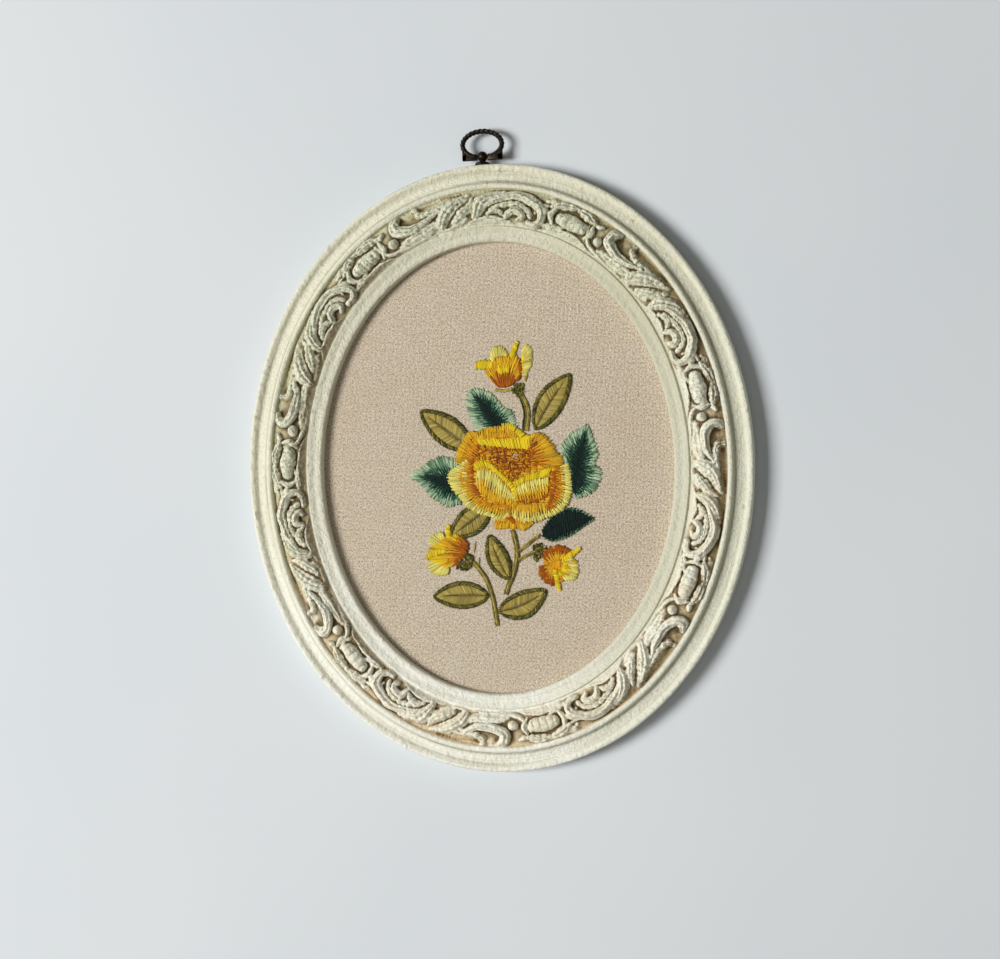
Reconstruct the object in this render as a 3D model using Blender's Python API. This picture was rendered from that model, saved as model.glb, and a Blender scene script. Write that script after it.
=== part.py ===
"""Rose embroidered on linen, held in an oval moulded frame with a hanging bail.

The frame lies on its back: X runs across the picture, Y towards its top, Z out of its face.
Lengths in this script are millimetres until a mesh is built, which turns them into metres.
"""
import math

import bmesh
import bpy
import numpy as np
from mathutils import Matrix, Vector

MM = 0.001
GAP = 0.3

# Oval frame: an 8 by 10 inch rebate behind a narrow sight lip
INCH = 25.4
REBATE_A = 8 * INCH / 2
REBATE_B = 10 * INCH / 2
SIGHT_LIP = 3.2
SIGHT_A = REBATE_A - SIGHT_LIP
SIGHT_B = REBATE_B - SIGHT_LIP
MOULDING_WIDTH = 42.5
OUTER_B = SIGHT_B + MOULDING_WIDTH

# Layers in the rebate, from the back
BOARD_BACK = 3.0
BOARD_THICKNESS = 2.0
LINEN_THICKNESS = 1.2
LINEN_BACK = BOARD_BACK + BOARD_THICKNESS + GAP
LINEN_FACE = LINEN_BACK + LINEN_THICKNESS
LIP_BACK = LINEN_FACE + GAP
SIGHT_TOP = 12.0

# Ornament band of the moulding, measured outwards from the sight edge
BAND_IN = 8.8
BAND_OUT = 28.6
BAND_WIDTH = BAND_OUT - BAND_IN
BAND_GROUND = 14.0
BAND_CROWN = 1.6
BAND_COLUMNS = 8
UNITS = 7
STATIONS_PER_UNIT = 20
FIRST_UNIT = 0.33

# Hanger, a little left of the oval's top
STUD_X = -4.5
STUD_Z = 6.6
STUD_RISE = 5.1
BALL_R = 2.8
COLLAR_R = 4.2
COLLAR_THICKNESS = 1.8
NECK_R = 1.7
SHANK_R = 1.5
SHANK_DEPTH = 9.0
PIN_R = 1.0
BAIL_R = 1.45
BAIL_RISE = 6.6
BAIL_HALF_WIDTH = 11.0
BAIL_HALF_HEIGHT = 7.3
FOOT_THICKNESS = 2.6
FOOT_BOTTOM = 2.1
FOOT_TOP = 1.3
FOOT_END = 11.2

# The oval's middle, set so that the whole part is centred on the origin
BAIL_TOP = OUTER_B + STUD_RISE + BAIL_RISE + BAIL_HALF_HEIGHT + BAIL_R
CENTRE_Y = -(BAIL_TOP - OUTER_B) / 2
BAIL_AXIS = (STUD_X, OUTER_B + STUD_RISE, STUD_Z)

# Moulding outside the band: distance from the sight edge, height above the back
OUTER_SIDE = [
    (28.9, 14.4),
    (30.6, 14.9),
    (31.6, 13.2),
    (32.4, 12.4),
    (35.0, 10.6),
    (37.6, 10.2),
    (40.2, 11.3),
    (41.6, 12.4),
    (MOULDING_WIDTH, 11.8),
    (MOULDING_WIDTH, 1.2),
    (41.3, 0.0),
    (SIGHT_LIP, 0.0),
    (SIGHT_LIP, LIP_BACK),
    (0.0, LIP_BACK),
    (0.0, SIGHT_TOP - 0.9),
    (0.8, SIGHT_TOP),
    (4.4, SIGHT_TOP + 0.6),
    (7.8, SIGHT_TOP + 1.4),
]

# One unit of the ornament: middle along the band, middle across it, length, width, turn, height
LOBES = [
    ("cabochon", 0, 9.5, 26, 11, 0, 4.4),
    ("shell", 3, 17.0, 24, 7, 0, 3.6),
    ("crescent_leaf", 0, 2.4, 26, 5, 0, 2.6),
    ("bead_before", -18, 13.5, 7, 7, 0, 3.2),
    ("bead_after", 17, 8.5, 7, 7, 0, 3.2),
    ("hook", 24, 16.0, 10, 9, 0, 4.4),
    ("hook_stem", 34, 8.5, 24, 6, -38, 3.8),
    ("leaflet_one", 46, 10.0, 20, 7, 52, 3.8),
    ("leaflet_two", 54, 9.5, 20, 7, 52, 3.6),
    ("leaflet_three", 62, 8.5, 18, 7, 48, 3.4),
    ("scroll_rise", 71, 11.5, 20, 7, 38, 4.2),
    ("scroll_back", 83, 16.8, 22, 7, 0, 4.6),
    ("scroll_fall", 95, 9.5, 18, 7, 95, 4.4),
    ("volute", 86, 5.5, 12, 8, 0, 4.2),
    ("half_moon", 71, 2.6, 26, 5, 0, 2.8),
]

# Satin-stitched leaves: base, tip (from the oval's middle), greatest width, bend, thread
LEAVES = [
    ("leaf_top_right", (23, 20), (43, 50), 14, 0.04, "olive"),
    ("leaf_top_left", (-15, 11), (-42, 32), 15, 0.04, "olive"),
    ("leaf_mid_left", (-2, -22), (-26, -35), 15, 0.05, "olive"),
    ("leaf_low_middle", (4.2, -61.5), (-4, -37), 11, 0.04, "olive"),
    ("leaf_low_left", (-6, -71), (-37, -71), 14, -0.03, "olive"),
    ("leaf_low_right", (1, -80), (27, -68), 14, -0.05, "olive"),
    ("leaf_teal_top", (4, 14), (-13, 44), 23, -0.04, "teal"),
    ("leaf_teal_left", (-16, -9), (-48, -3), 24, 0.02, "teal"),
    ("leaf_teal_right", (38, -17), (53, 21), 24, -0.10, "teal"),
    ("leaf_teal_dark", (25, -37), (53, -29), 13, 0.06, "teal_dark"),
]

# Stems: points along each from the oval's middle, and width
STEMS = [
    ("stem_main", [(-1, -86), (-2.5, -74), (-8, -60), (-16, -50)], 1.6),
    ("stem_rose", [(3, -69), (7, -60), (10.5, -48), (9.5, -30)], 1.6),
    ("stem_top_bud", [(16.5, 16), (17.8, 26), (17.2, 35), (12, 46)], 1.5),
    ("stem_right_bud", [(12.8, -50), (16, -48), (20, -46.5), (26, -48)], 1.2),
    ("stem_dark_leaf", [(13, -46), (16, -42.5), (19, -39.5), (22.5, -37.6)], 1.0),
]

# Flowers: middle, half width, half height, petals, depth of the notches, height
FLOWERS = [
    ("rose", (7, -4.5), 35.5, 29.5, 7, 0.09, 1.7),
    ("bud_top", (5, 54), 14, 12, 5, 0.20, 1.3),
    ("bud_left", (-28, -46), 12, 13, 4, 0.18, 1.3),
    ("bud_right", (34, -55), 12, 12, 5, 0.18, 1.3),
]
STITCH_BACK = LINEN_FACE + GAP
STITCH_EDGE = 0.5
LEAF_THICKNESS = 1.1
STEM_THICKNESS = 0.9

# Node name to linear base colour, roughness and metallic value
FINISHES = {
    "cream_paint": ((0.74, 0.71, 0.60), 0.62, 0.0),
    "linen": ((0.58, 0.48, 0.40), 0.90, 0.0),
    "board": ((0.30, 0.22, 0.15), 0.85, 0.0),
    "yellow": ((0.80, 0.52, 0.06), 0.60, 0.0),
    "olive": ((0.34, 0.28, 0.09), 0.60, 0.0),
    "teal": ((0.08, 0.26, 0.22), 0.60, 0.0),
    "teal_dark": ((0.01, 0.09, 0.09), 0.60, 0.0),
    "bronze": ((0.045, 0.036, 0.028), 0.42, 0.9),
}


def clear_scene():
    for old in list(bpy.data.objects):
        bpy.data.objects.remove(old, do_unlink=True)


def finish_material(slot):
    """The Principled material of one slot, made once."""
    material = bpy.data.materials.get(slot)
    if material is None:
        colour, roughness, metallic = FINISHES[slot]
        material = bpy.data.materials.new(slot)
        material.use_nodes = True
        shader = material.node_tree.nodes["Principled BSDF"]
        shader.inputs["Base Color"].default_value = (*colour, 1.0)
        shader.inputs["Roughness"].default_value = roughness
        shader.inputs["Metallic"].default_value = metallic
    return material


def add_object(name, bm, slot, origin=(0, 0, 0)):
    """Turn a bmesh drawn in millimetres, from the oval's middle, into a named object."""
    bmesh.ops.translate(bm, verts=bm.verts, vec=[-place for place in origin])
    bmesh.ops.scale(bm, verts=bm.verts, vec=(MM, MM, MM))
    bmesh.ops.recalc_face_normals(bm, faces=bm.faces)
    mesh = bpy.data.meshes.new(name)
    bm.to_mesh(mesh)
    bm.free()
    mesh.shade_smooth()
    mesh.set_sharp_from_angle(angle=math.radians(40))
    mesh.materials.append(finish_material(slot))
    obj = bpy.data.objects.new(name, mesh)
    obj.location = (origin[0] * MM, (origin[1] + CENTRE_Y) * MM, origin[2] * MM)
    bpy.context.scene.collection.objects.link(obj)
    return obj


def combine(body, tool, operation):
    """Cut a tool shape out of a body, or join it on; the tool itself is only a guide."""
    tool.hide_render = True
    tool.display_type = "WIRE"
    change = body.modifiers.new(tool.name, "BOOLEAN")
    change.operation = operation
    change.object = tool


def bridge_rows(bm, rows):
    """Join each closed row of vertices to the next one with four-sided faces."""
    for row, following in zip(rows, rows[1:]):
        for place in range(len(row)):
            after = (place + 1) % len(row)
            bm.faces.new((row[place], row[after], following[after], following[place]))


def rod(radius, length):
    """A capped round rod along Z, centred on the oval's middle."""
    bm = bmesh.new()
    bmesh.ops.create_cone(
        bm, cap_ends=True, segments=12, radius1=radius, radius2=radius, depth=length
    )
    return bm


def oval_stations(count):
    """Points of the sight oval and their outward normals, evenly spaced along the ornament band.

    The first is at the top, and they run clockwise as seen from the front.
    """
    turn = np.linspace(0, 2 * math.pi, 7201)
    x = SIGHT_A * np.sin(turn)
    y = SIGHT_B * np.cos(turn)
    normal_x = SIGHT_B * np.sin(turn)
    normal_y = SIGHT_A * np.cos(turn)
    length = np.hypot(normal_x, normal_y)
    middle = (BAND_IN + BAND_OUT) / 2
    mid_x = x + middle * normal_x / length
    mid_y = y + middle * normal_y / length
    steps = np.hypot(np.diff(mid_x), np.diff(mid_y))
    travel = np.concatenate([[0], np.cumsum(steps)])
    at = np.interp(np.arange(count) * travel[-1] / count, travel, turn)
    points = np.stack([SIGHT_A * np.sin(at), SIGHT_B * np.cos(at)], axis=1)
    normals = np.stack([SIGHT_B * np.sin(at), SIGHT_A * np.cos(at)], axis=1)
    normals /= np.linalg.norm(normals, axis=1)[:, None]
    return points, normals, travel[-1]


def ornament_height(along, across, unit_length):
    """Height of the carved relief over the band's ground, at one place of the repeat."""
    height = 0.0
    for _name, middle_u, middle_v, length, width, turn, rise in LOBES:
        offset = (along - middle_u + unit_length / 2) % unit_length - unit_length / 2
        rise_v = across - middle_v
        cos_turn = math.cos(math.radians(turn))
        sin_turn = math.sin(math.radians(turn))
        a = (offset * cos_turn + rise_v * sin_turn) / (length / 2)
        b = (rise_v * cos_turn - offset * sin_turn) / (width / 2)
        height = max(height, rise * math.sqrt(max(0.0, 1 - a * a - b * b)))
    return height


def moulding_section(along, unit_length):
    """The frame's closed section at one station: distance from the sight edge, and height."""
    band = []
    for column in range(BAND_COLUMNS):
        share = column / (BAND_COLUMNS - 1)
        across = share * BAND_WIDTH
        ground = BAND_GROUND + BAND_CROWN * math.sin(math.pi * share)
        edge = min(1.0, 6 * min(share, 1 - share))
        band.append((BAND_IN + across, ground + edge * ornament_height(along, across, unit_length)))
    return band + OUTER_SIDE


def make_frame():
    """One moulded ring: its section is carried round the oval, with the ornament on its band."""
    count = UNITS * STATIONS_PER_UNIT
    points, normals, travel = oval_stations(count)
    unit_length = travel / UNITS
    bm = bmesh.new()
    rings = []
    for index in range(count):
        along = (index / STATIONS_PER_UNIT - FIRST_UNIT) * unit_length
        ring = []
        for distance, height in moulding_section(along, unit_length):
            x, y = points[index] + distance * normals[index]
            ring.append(bm.verts.new((x, y, height)))
        rings.append(ring)
    bridge_rows(bm, rings + rings[:1])
    frame = add_object("frame", bm, "cream_paint")
    combine(frame, make_stud_hole(), "DIFFERENCE")


def make_stud_hole():
    """The hole in the top edge that the hanger's shank is driven into."""
    bm = rod(SHANK_R + GAP, 2 * (SHANK_DEPTH + GAP))
    bmesh.ops.rotate(bm, verts=bm.verts, cent=(0, 0, 0), matrix=Matrix.Rotation(math.pi / 2, 3, "X"))
    bmesh.ops.translate(bm, verts=bm.verts, vec=(STUD_X, OUTER_B, STUD_Z))
    return add_object("stud_hole", bm, "cream_paint")


def make_oval_sheet(name, slot, back, thickness):
    """A flat oval sheet that fills the rebate with a small gap all round."""
    points, normals, _travel = oval_stations(UNITS * STATIONS_PER_UNIT // 2)
    bm = bmesh.new()
    outline = points + (SIGHT_LIP - GAP) * normals
    verts = [bm.verts.new((x, y, back)) for x, y in outline]
    face = bm.faces.new(verts)
    grown = bmesh.ops.extrude_face_region(bm, geom=[face])
    raised = [item for item in grown["geom"] if isinstance(item, bmesh.types.BMVert)]
    bmesh.ops.translate(bm, verts=raised, vec=(0, 0, thickness))
    add_object(name, bm, slot)


def make_domed_strip(name, slot, spine, half_widths, thickness):
    """A low domed solid along a line of points: a satin-stitched leaf or a stem."""
    spine = np.array(spine, dtype=float)
    ahead = np.gradient(spine, axis=0)
    ahead /= np.linalg.norm(ahead, axis=1)[:, None]
    side = np.stack([-ahead[:, 1], ahead[:, 0]], axis=1)
    section = [(-1.0, 0.0), (-1.0, STITCH_EDGE), (0.0, thickness), (1.0, STITCH_EDGE), (1.0, 0.0)]
    bm = bmesh.new()
    rows = []
    for point, across, half in zip(spine, side, half_widths):
        row = []
        for place, height in section:
            x, y = point + across * place * half
            row.append(bm.verts.new((x, y, STITCH_BACK + height)))
        rows.append(row)
    bridge_rows(bm, rows)
    bm.faces.new(rows[0])
    bm.faces.new(rows[-1])
    return add_object(name, bm, slot)


def make_leaf(name, base, tip, width, bend, slot):
    """A leaf from its base to its tip, widest a little before the middle."""
    base = np.array(base, dtype=float)
    tip = np.array(tip, dtype=float)
    run = tip - base
    side = np.array([-run[1], run[0]])
    shares = np.linspace(0, 1, 9)
    spine = [base + run * share + side * bend * math.sin(math.pi * share) for share in shares]
    half_widths = [0.4 + width / 2 * math.sin(math.pi * share**0.85) ** 0.75 for share in shares]
    return make_domed_strip(name, slot, spine, half_widths, LEAF_THICKNESS)


def make_stem(name, points, width):
    """A stem-stitched line through a few points, smoothed between them."""
    points = np.array(points, dtype=float)
    place = np.arange(len(points))
    fine = np.linspace(0, len(points) - 1, 10)
    columns = [np.polyval(np.polyfit(place, points[:, axis], 3), fine) for axis in (0, 1)]
    spine = np.stack(columns, axis=1)
    return make_domed_strip(name, "olive", spine, [width / 2] * len(spine), STEM_THICKNESS)


def clear_of_flowers(obj, flowers):
    """Cut a leaf or stem back from each flower whose outline it reaches."""
    low, high = extent(obj)
    for flower, cutter in flowers:
        flower_low, flower_high = extent(flower)
        if np.all(low < flower_high) and np.all(flower_low < high):
            combine(obj, cutter, "DIFFERENCE")


def extent(obj):
    """Lowest and highest X and Y of an object's mesh."""
    places = np.array([vert.co[:2] for vert in obj.data.vertices])
    return places.min(axis=0), places.max(axis=0)


def make_flower(name, middle, half_width, half_height, petals, notch, thickness):
    """A domed flower head whose edge is scalloped into petals, and the cutter that clears it."""
    rings = [
        (1.0, 0.0),
        (1.0, STITCH_EDGE),
        (0.8, 0.9 * thickness),
        (0.5, 0.75 * thickness),
        (0.25, thickness),
    ]
    flower = make_petal_stack(name, middle, (half_width, half_height), petals, notch, rings)
    grown = (half_width + 2 * GAP, half_height + 2 * GAP)
    wall = [(1.0, -thickness), (1.0, 2 * thickness)]
    return flower, make_petal_stack(name + "_clearance", middle, grown, petals, notch, wall)


def make_petal_stack(name, middle, half_sizes, petals, notch, rings):
    """A closed stack of scalloped outlines, each a share of the full size at its own height."""
    sides = petals * 6
    bm = bmesh.new()
    rows = []
    for share, height in rings:
        row = []
        for index in range(sides):
            turn = 2 * math.pi * index / sides
            groove = abs(math.cos(petals * turn / 2)) ** 3
            scallop = 1 - notch * groove
            x = middle[0] + half_sizes[0] * share * scallop * math.cos(turn)
            y = middle[1] + half_sizes[1] * share * scallop * math.sin(turn)
            crease = 0.6 * groove * max(0.0, height - STITCH_EDGE)
            row.append(bm.verts.new((x, y, STITCH_BACK + height - crease)))
        rows.append(row)
    bridge_rows(bm, rows)
    bm.faces.new(rows[0])
    bm.faces.new(rows[-1])
    return add_object(name, bm, "yellow")


def make_stud():
    """Shank, collar and ball turned in one piece, with a cross hole for the bail's pin."""
    seat = OUTER_B + GAP
    collar_top = seat + COLLAR_THICKNESS
    profile = [
        (0.0, OUTER_B - SHANK_DEPTH),
        (SHANK_R, OUTER_B - SHANK_DEPTH),
        (SHANK_R, seat),
        (COLLAR_R - 0.4, seat),
        (COLLAR_R, seat + 0.6),
        (COLLAR_R - 0.7, collar_top),
        (NECK_R, collar_top),
    ]
    start = math.asin(NECK_R / BALL_R)
    for angle in np.linspace(start, math.pi, 7)[:-1]:
        profile.append((BALL_R * math.sin(angle), BAIL_AXIS[1] - BALL_R * math.cos(angle)))
    profile.append((0.0, BAIL_AXIS[1] + BALL_R))
    bm = bmesh.new()
    line = [bm.verts.new((STUD_X + radius, y, STUD_Z)) for radius, y in profile]
    edges = [bm.edges.new(pair) for pair in zip(line, line[1:])]
    bmesh.ops.spin(
        bm,
        geom=line + edges,
        cent=(STUD_X, 0, STUD_Z),
        axis=(0, 1, 0),
        dvec=(0, 0, 0),
        angle=2 * math.pi,
        steps=16,
        use_merge=True,
    )
    bmesh.ops.remove_doubles(bm, verts=bm.verts, dist=0.001)
    stud = add_object("stud", bm, "bronze")
    combine(stud, make_cross_rod("stud_bore", PIN_R + GAP, 4 * BALL_R), "DIFFERENCE")


def make_cross_rod(name, radius, length):
    """A round rod along X on the bail's axis: its pin, or the bore that clears it."""
    bm = rod(radius, length)
    bmesh.ops.rotate(bm, verts=bm.verts, cent=(0, 0, 0), matrix=Matrix.Rotation(math.pi / 2, 3, "Y"))
    bmesh.ops.translate(bm, verts=bm.verts, vec=BAIL_AXIS)
    return add_object(name, bm, "bronze", BAIL_AXIS)


def make_bail():
    """The oval ring, its two square feet and the pin between them, joined into one piece."""
    low_turn = math.asin(BAIL_RISE / BAIL_HALF_HEIGHT)
    bm = bmesh.new()
    rows = []
    for turn in np.linspace(-low_turn, math.pi + low_turn, 33):
        centre = np.array([BAIL_HALF_WIDTH * math.cos(turn), BAIL_HALF_HEIGHT * math.sin(turn)])
        normal = np.array([BAIL_HALF_HEIGHT * math.cos(turn), BAIL_HALF_WIDTH * math.sin(turn)])
        normal /= np.linalg.norm(normal)
        row = []
        for angle in np.arange(8) * math.pi / 4:
            x, y = centre + normal * BAIL_R * math.cos(angle)
            row.append(bm.verts.new((x, BAIL_RISE + y, BAIL_R * math.sin(angle))))
        rows.append(row)
    bridge_rows(bm, rows)
    bm.faces.new(rows[0])
    bm.faces.new(rows[-1])
    bmesh.ops.translate(bm, verts=bm.verts, vec=BAIL_AXIS)
    bail = add_object("bail", bm, "bronze", BAIL_AXIS)
    inner = BALL_R + GAP
    combine(bail, make_foot("bail_foot_left", -FOOT_END, -inner), "UNION")
    combine(bail, make_foot("bail_foot_right", inner, FOOT_END), "UNION")
    combine(bail, make_cross_rod("bail_pin", PIN_R, 2 * inner + 2.0), "UNION")


def make_foot(name, low_x, high_x):
    """A square foot of the bail, from beside the ball to the end of the ring."""
    bm = bmesh.new()
    bmesh.ops.create_cube(bm, size=1.0)
    size = (high_x - low_x, FOOT_TOP + FOOT_BOTTOM, FOOT_THICKNESS)
    bmesh.ops.scale(bm, verts=bm.verts, vec=size)
    middle = Vector(((low_x + high_x) / 2, (FOOT_TOP - FOOT_BOTTOM) / 2, 0))
    bmesh.ops.translate(bm, verts=bm.verts, vec=middle + Vector(BAIL_AXIS))
    return add_object(name, bm, "bronze", BAIL_AXIS)


def main():
    clear_scene()
    make_frame()
    make_oval_sheet("linen", "linen", LINEN_BACK, LINEN_THICKNESS)
    make_oval_sheet("backing_board", "board", BOARD_BACK, BOARD_THICKNESS)
    flowers = [make_flower(*row) for row in FLOWERS]
    for row in LEAVES:
        clear_of_flowers(make_leaf(*row), flowers)
    for row in STEMS:
        clear_of_flowers(make_stem(*row), flowers)
    make_stud()
    make_bail()


main()
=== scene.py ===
import math

import bmesh
import bpy
import numpy as np
from mathutils import Matrix, Vector


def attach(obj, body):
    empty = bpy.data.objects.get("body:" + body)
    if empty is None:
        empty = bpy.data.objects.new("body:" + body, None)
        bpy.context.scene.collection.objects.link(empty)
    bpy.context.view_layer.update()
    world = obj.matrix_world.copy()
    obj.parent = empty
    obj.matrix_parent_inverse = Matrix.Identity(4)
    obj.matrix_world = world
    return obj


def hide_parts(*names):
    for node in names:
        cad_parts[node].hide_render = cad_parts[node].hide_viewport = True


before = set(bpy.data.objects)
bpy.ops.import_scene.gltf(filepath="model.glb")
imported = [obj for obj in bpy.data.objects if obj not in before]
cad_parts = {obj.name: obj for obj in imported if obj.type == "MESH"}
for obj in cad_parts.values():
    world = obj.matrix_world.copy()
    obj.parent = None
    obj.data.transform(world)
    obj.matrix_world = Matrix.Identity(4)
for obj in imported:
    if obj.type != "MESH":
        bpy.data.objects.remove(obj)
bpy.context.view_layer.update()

# ROOM: a pale, faintly blue floor under a large soft window light from the left.
# The picture lies on its back, and the camera looks at it from a little to its right.
MM = 0.001
CENTRE_Y = -0.010225
CAMERA_TURN = math.radians(11.8)
CAMERA_ROLL = math.radians(-1.1)
CAMERA_DISTANCE = 1.0


def srgb(red, green, blue):
    """A colour given as a screen shows it, 0 to 255, as the linear colour that shaders use."""
    shares = [value / 255 for value in (red, green, blue)]
    linear = [x / 12.92 if x <= 0.04045 else ((x + 0.055) / 1.055) ** 2.4 for x in shares]
    return (*linear, 1.0)


def add_light(name, place, size, power, colour):
    lamp = bpy.data.lights.new(name, "AREA")
    lamp.shape = "RECTANGLE"
    lamp.size, lamp.size_y = size
    lamp.energy = power
    lamp.color = srgb(*colour)[:3]
    light = bpy.data.objects.new(name, lamp)
    light.location = place
    light.rotation_euler = Vector(place).to_track_quat("Z", "Y").to_euler()
    bpy.context.scene.collection.objects.link(light)


away = Vector((math.sin(CAMERA_TURN), 0, math.cos(CAMERA_TURN)))
level = Vector((math.cos(CAMERA_TURN), 0, -math.sin(CAMERA_TURN)))
upright = Vector((0, 1, 0))
right = level * math.cos(CAMERA_ROLL) + upright * math.sin(CAMERA_ROLL)
top = upright * math.cos(CAMERA_ROLL) - level * math.sin(CAMERA_ROLL)
lens = bpy.data.cameras.new("camera")
lens.lens = 65.09
lens.sensor_width = 36.0
lens.shift_x = 0.0011
lens.shift_y = -0.0116
camera = bpy.data.objects.new("camera", lens)
turned = Matrix((right, top, away)).transposed().to_4x4()
camera.matrix_world = Matrix.Translation(Vector((0, CENTRE_Y, 0)) + away * CAMERA_DISTANCE) @ turned
bpy.context.scene.collection.objects.link(camera)
bpy.context.scene.camera = camera
bpy.context.scene.view_settings.view_transform = "Standard"

add_light("window", (-2.40, -0.05, 2.90), (1.2, 1.6), 147.0, (255, 252, 247))
add_light("room_fill", (0.6, -0.7, 1.4), (1.6, 1.6), 1.5, (255, 252, 246))
world = bpy.data.worlds.new("room")
world.use_nodes = True
sky = world.node_tree.nodes["Background"]
sky.inputs["Color"].default_value = srgb(246, 240, 228)
sky.inputs["Strength"].default_value = 0.16
bpy.context.scene.world = world


class Shade:
    """One socket of a finish's nodes; sums and products of sockets add their Math nodes."""

    def __init__(self, tree, socket=None):
        self.tree = tree
        self.socket = socket

    def add(self, kind, settings=None, sockets=None, out=0):
        """Add any node: its settings first, then the values or links of its sockets."""
        node = self.tree.nodes.new(kind)
        for name, value in (settings or {}).items():
            setattr(node, name, value)
        for name, value in (sockets or {}).items():
            if isinstance(value, Shade):
                self.tree.links.new(value.socket, node.inputs[name])
            else:
                node.inputs[name].default_value = value
        return Shade(self.tree, node.outputs[out])

    def math(self, operation, *values):
        sockets = dict(enumerate([self, *values]))
        return self.add("ShaderNodeMath", {"operation": operation}, sockets)

    def __add__(self, other):
        return self.math("ADD", other)

    def __mul__(self, other):
        return self.math("MULTIPLY", other)

    def __sub__(self, other):
        return self.math("SUBTRACT", other)

    def __rsub__(self, other):
        return self.add("ShaderNodeMath", {"operation": "SUBTRACT"}, {0: other, 1: self})

    __radd__ = __add__
    __rmul__ = __mul__

    def step(self, low, high):
        """0 below the low value and 1 above the high one, smooth between them."""
        sockets = {"Value": self, "From Min": low, "From Max": high}
        return self.add("ShaderNodeMapRange", {"interpolation_type": "SMOOTHSTEP"}, sockets)

    def tint(self, under, over, way="MIX"):
        """A colour laid over another as far as this mask goes."""
        settings = {"data_type": "RGBA", "blend_type": way}
        return self.add("ShaderNodeMix", settings, {0: self, 6: under, 7: over}, 2)

    def scaled(self, x, y, z):
        """This vector, with each of its parts times a number."""
        return self.add("ShaderNodeVectorMath", {"operation": "MULTIPLY"}, {0: self, 1: (x, y, z)})

    def parts(self):
        """The three parts of this vector."""
        split = self.tree.nodes.new("ShaderNodeSeparateXYZ")
        self.tree.links.new(self.socket, split.inputs[0])
        return [Shade(self.tree, split.outputs[column]) for column in range(3)]

    def painted(self, name, out="Fac"):
        """What paint_vertices kept under a name: Fac for a number, Vector for a row of three."""
        return self.add("ShaderNodeAttribute", {"attribute_name": name}, None, out)

    def noise(self, scale, detail=3.0, rough=0.55):
        """Cloudy noise read at this place."""
        sockets = {"Vector": self, "Scale": scale, "Detail": detail, "Roughness": rough}
        return self.add("ShaderNodeTexNoise", None, sockets)

    def spots(self, scale, way="F1"):
        """Distance to the nearest of many scattered points, from this place."""
        return self.add("ShaderNodeTexVoronoi", {"feature": way}, {"Vector": self, "Scale": scale})

    def bump(self, strength, depth):
        sockets = {"Height": self, "Strength": strength, "Distance": depth}
        return self.add("ShaderNodeBump", None, sockets)


def new_finish(name):
    """A finish with its object coordinates and its shader, ready for sockets."""
    finish = bpy.data.materials.new(name)
    finish.use_nodes = True
    tree = finish.node_tree
    place = Shade(tree).add("ShaderNodeTexCoord", None, None, "Object")
    return finish, place, tree.nodes["Principled BSDF"]


def feed(shader, **sockets):
    """Link a Shade to a shader's socket, or set the socket; _ stands for a space in its name."""
    for name, value in sockets.items():
        socket = shader.inputs[name.replace("_", " ")]
        if isinstance(value, Shade):
            value.tree.links.new(value.socket, socket)
        else:
            socket.default_value = value


def add_piece(name, mesh, finish, body, nodes):
    """Link a finished mesh as a piece that rides on a body and stands for its CAD nodes."""
    mesh.materials.append(finish)
    piece = bpy.data.objects.new(name, mesh)
    bpy.context.scene.collection.objects.link(piece)
    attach(piece, body)
    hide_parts(*nodes)
    return piece


bm = bmesh.new()
bmesh.ops.create_grid(bm, x_segments=1, y_segments=1, size=3.0)
floor_mesh = bpy.data.meshes.new("floor")
bm.to_mesh(floor_mesh)
bm.free()
floor_paper, place, shader = new_finish("floor_paper")
mottle = place.noise(3.0, 2.0).step(0.3, 0.7)
feed(shader, Base_Color=mottle.tint(srgb(212, 220, 228), srgb(217, 224, 231)), Roughness=0.85)
floor_mesh.materials.append(floor_paper)
floor = bpy.data.objects.new("floor", floor_mesh)
bpy.context.scene.collection.objects.link(floor)

# OVAL MOULDING: one cast and carved ring, painted cream, its ornament rubbed with grey green.
# Smooth steps run inside and outside a band of seven like runs of shells, hooks and leaves,
# each a little longer or shorter than the next, as a hand-fitted run is.
SIGHT_A = 98.4
SIGHT_B = 123.8
BAND_MIDDLE = 18.7
FIRST_RING = 200.0
RING_STEPS = 220
RING_CUTS = 6
BAND_IN = 8.8
BAND_OUT = 28.4
RUN_LENGTH = 117.0
RELIEF_CELL = 0.2
BAND_POINTS = 34
LUMP_GRID = 97
SHARP_ANGLE = 55
FRAME_TOP = 19.7
SHELL_PLACES = [48.5, 163.4, 268.0, 383.0, 501.0, 618.0, 741.0]

# Section of the ring: distance from the sight edge, height above the floor
SMOOTH_SECTION = [
    (29.0, 14.5), (29.8, 14.9), (30.7, 14.9), (31.4, 14.4), (31.9, 13.3), (32.2, 12.2), (32.7, 11.7),
    (34.0, 11.3), (35.8, 10.8), (37.4, 10.4), (38.2, 10.5), (38.9, 11.1), (39.6, 11.9), (40.6, 12.4),
    (41.6, 12.3), (42.3, 11.7), (42.5, 11.0), (42.5, 1.2), (41.3, 0.05), (3.2, 0.05), (3.2, 6.8),
    (0.0, 6.8), (0.0, 11.1), (0.4, 11.9), (1.2, 12.4), (2.6, 12.5), (4.0, 12.4), (5.4, 12.8),
    (6.8, 13.6), (8.0, 13.8),
]

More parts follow.
